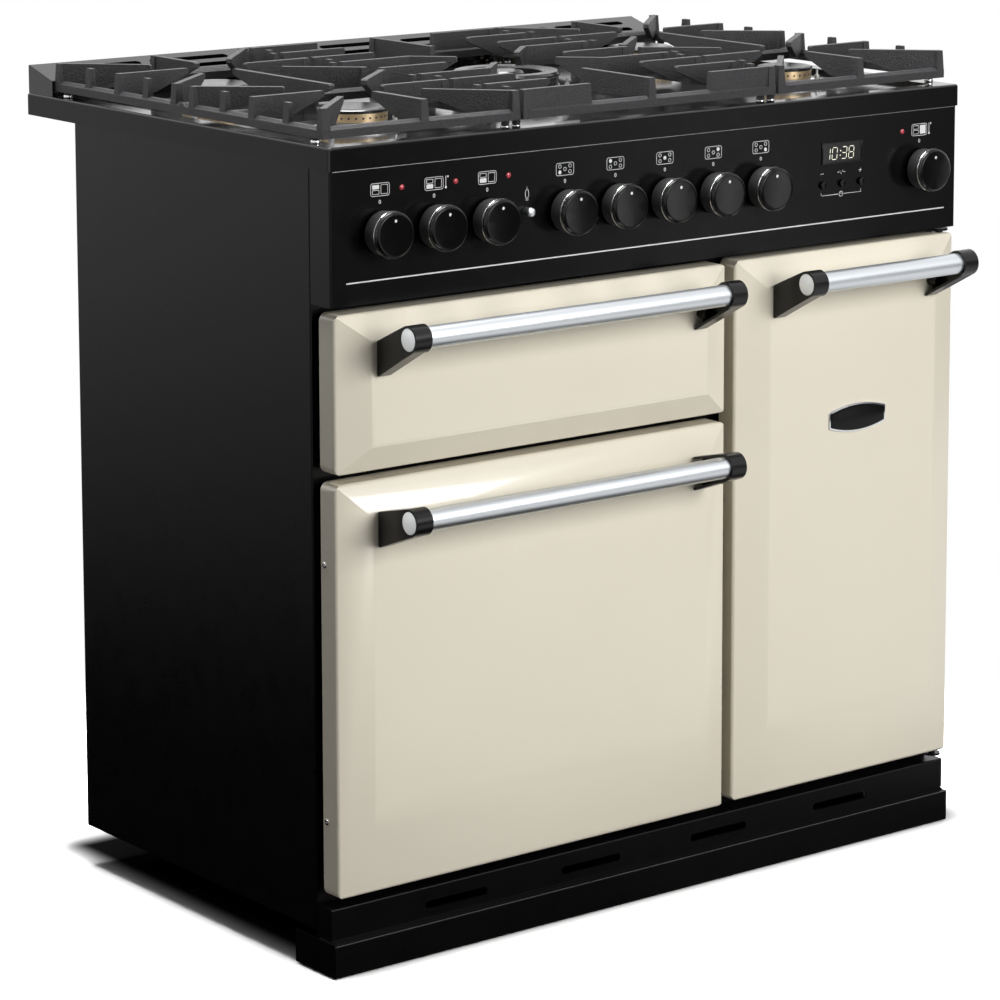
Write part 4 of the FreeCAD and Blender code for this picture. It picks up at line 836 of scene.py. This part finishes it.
# floor: lengths in metres, levels of light, and pairs where a fade starts and ends
stage = {"size": 40.0, "albedo": 0.16, "shown": 3.6, "worldLevel": 0.08, "floorGap": 0.0004,
         "white": (0.55, 0.95), "underX": 0.428, "underY": 0.26, "underMiddle": (0.018, 0.04, 0),
         "underEdge": 0.08, "underShade": 0.01}
mirrored = {"bright": 0.85, "dark": 0.06, "front": 0.9, "glow": 1.7, "from": 1.4, "to": 6.0,
            "inFront": (0.4, 0.85), "nearStart": (0.55, 1.1), "nearEnd": (3.4, 2.4),
            "patchWide": (0.085, 0.01), "patchFar": (2.5, 4.0), "patchSide": (0.6, 0.85),
            "wall": 1.0, "ceiling": 0.2, "side": 0.8, "ahead": 0.95, "wallBehind": (0.1, 0.6),
            "wallSide": (0.85, 0.4), "wallTop": (0.92, 0.78), "wallFoot": (0.14, 0.26)}
rightward = (0.78, -0.62, 0)
backward = (0.62, 0.78, 0)
acrossPatch = (0.77, 0.637, 0)
bpy.ops.mesh.primitive_plane_add(size=stage["size"], location=(0, 0, -stage["floorGap"]))
floor = bpy.context.object
floor.name = "floor"
floorPaint = Paint("floor", Roughness=0.6)
floorTone = floorPaint.mix(floorPaint.noise(3.0), shade(stage["albedo"]), shade(stage["albedo"] * 0.99))
floorPaint.feed(Base_Color=floorTone)
distance = floorPaint.vector("LENGTH", floorPaint.here, output="Value")
# the paper as it is seen: a painted shadow, near black right under the cooker and fading out just past its
# footprint, and plain white far off
aside = floorPaint.vector("ABSOLUTE", floorPaint.vector("SUBTRACT", floorPaint.here, stage["underMiddle"]))
pastEdge = floorPaint.vector("SUBTRACT", aside, (stage["underX"], stage["underY"], 0))
beside = floorPaint.vector("MAXIMUM", pastEdge)
# mask of the painted shadow: 0 inside the cooker's footprint, 1 once clear of it
clear = floorPaint.fade(floorPaint.vector("LENGTH", beside, output="Value"), 0.0, stage["underEdge"])
shadowedPaperTone = floorPaint.mix(clear, shade(stage["underShade"]), shade(stage["shown"]))
paper = floorPaint.add("ShaderNodeBsdfDiffuse", {}, {"Color": shadowedPaperTone}, "BSDF")
white = floorPaint.glow(1.0)
shown = floorPaint.blend(floorPaint.fade(distance, *stage["white"]), paper, white)
# the floor as gloss mirrors it: pale all round, dim towards the front right but for one soft patch
heading = floorPaint.vector("NORMALIZE", floorPaint.here)
toRight = floorPaint.vector("DOT_PRODUCT", heading, rightward, "Value")
fromPatch = floorPaint.vector("DOT_PRODUCT", heading, acrossPatch, "Value")
offPatch = floorPaint.add("ShaderNodeMath", {"operation": "ABSOLUTE"}, {0: fromPatch})
patch = (floorPaint.fade(offPatch, *mirrored["patchWide"]) * floorPaint.fade(distance, *mirrored["patchFar"])
         * floorPaint.fade(toRight, *mirrored["patchSide"]) * mirrored["glow"])
span = {"Value": distance, "From Min": mirrored["from"], "From Max": mirrored["to"]}
reach = floorPaint.add("ShaderNodeMapRange", {}, span)
inFront = floorPaint.fade(toRight, *mirrored["inFront"])
nearStart = floorPaint.fade(distance, *mirrored["nearStart"])
nearFront = nearStart * floorPaint.fade(distance, *mirrored["nearEnd"])
allRound = reach * mirrored["bright"] * (1 - inFront)
atFront = (nearFront * mirrored["front"] + mirrored["dark"]) * inFront
mirror = floorPaint.glow(allRound + atFront + patch)
solid = Wire(floorPaint, floorPaint.shader.outputs[0])
unseen = floorPaint.blend(floorPaint.ray("Is Glossy Ray"), solid, mirror)
floorPaint.finish(floorPaint.blend(floorPaint.ray("Is Camera Ray"), unseen, shown))
floor.data.materials.append(floorPaint.material)

# the room: a faint even light, and a pale wall behind and to the left that gloss mirrors
bpy.context.scene.world = bpy.data.worlds.new("studio")
room = Paint("studio", bpy.context.scene.world, Strength=stage["worldLevel"])
height = room.add("ShaderNodeSeparateXYZ", {}, {"Vector": room.here}, "Z")
behind = room.fade(room.vector("DOT_PRODUCT", room.here, backward, "Value"), *mirrored["wallBehind"])
sidelong = room.fade(room.vector("DOT_PRODUCT", room.here, rightward, "Value"), *mirrored["wallSide"])
lowDown = room.fade(height, *mirrored["wallTop"])
ahead = room.fade(height, *mirrored["wallFoot"]) * (1 - sidelong) * mirrored["ahead"]
walls = (behind * mirrored["wall"] + (1 - behind) * (sidelong * mirrored["side"] + ahead)) * lowDown
wallLight = room.glow(walls + mirrored["ceiling"])
faint = Wire(room, room.shader.outputs[0])
indoors = room.blend(room.ray("Is Glossy Ray"), faint, wallLight)
room.finish(room.blend(room.ray("Is Camera Ray"), indoors, room.glow(1.0)))

# soft boxes in front, above and at the left behind
lamps = {
    "key": {"at": (0.5, -3.3, 1.75), "to": (0.05, -0.3, 0.65), "size": 1.5, "power": 100},
    "top": {"at": (-0.15, 0.2, 2.9), "to": (0, -0.25, 0.85), "size": 1.3, "power": 125},
    "side": {"at": (-2.4, 1.9, 2.2), "to": (-0.45, 0.1, 0.7), "size": 1.2, "power": 12},
}
for name, lamp in lamps.items():
    spot = Vector(lamp["at"])
    turn = (Vector(lamp["to"]) - spot).to_track_quat("-Z", "Y").to_euler()
    bpy.ops.object.light_add(type="AREA", location=spot, rotation=turn)
    light = bpy.context.object
    light.name = "softbox_" + name
    light.data.size = lamp["size"]
    light.data.energy = lamp["power"]

# the camera stands at the front left, 1.4 m above the floor
view = {"at": (-2.7039, -3.4942, 1.4313), "tilt": 81.536, "turn": -38.372, "lens": 138.84,
        "shiftX": -0.0624, "shiftY": -0.3043, "sensor": 36.0}
turn = (math.radians(view["tilt"]), 0, math.radians(view["turn"]))
bpy.ops.object.camera_add(location=view["at"], rotation=turn)
camera = bpy.context.object
camera.data.sensor_width = view["sensor"]
camera.data.lens = view["lens"]
camera.data.shift_x = view["shiftX"]
camera.data.shift_y = view["shiftY"]
bpy.context.scene.camera = camera
bpy.context.scene.view_settings.view_transform = "Standard"

print("light and camera done")
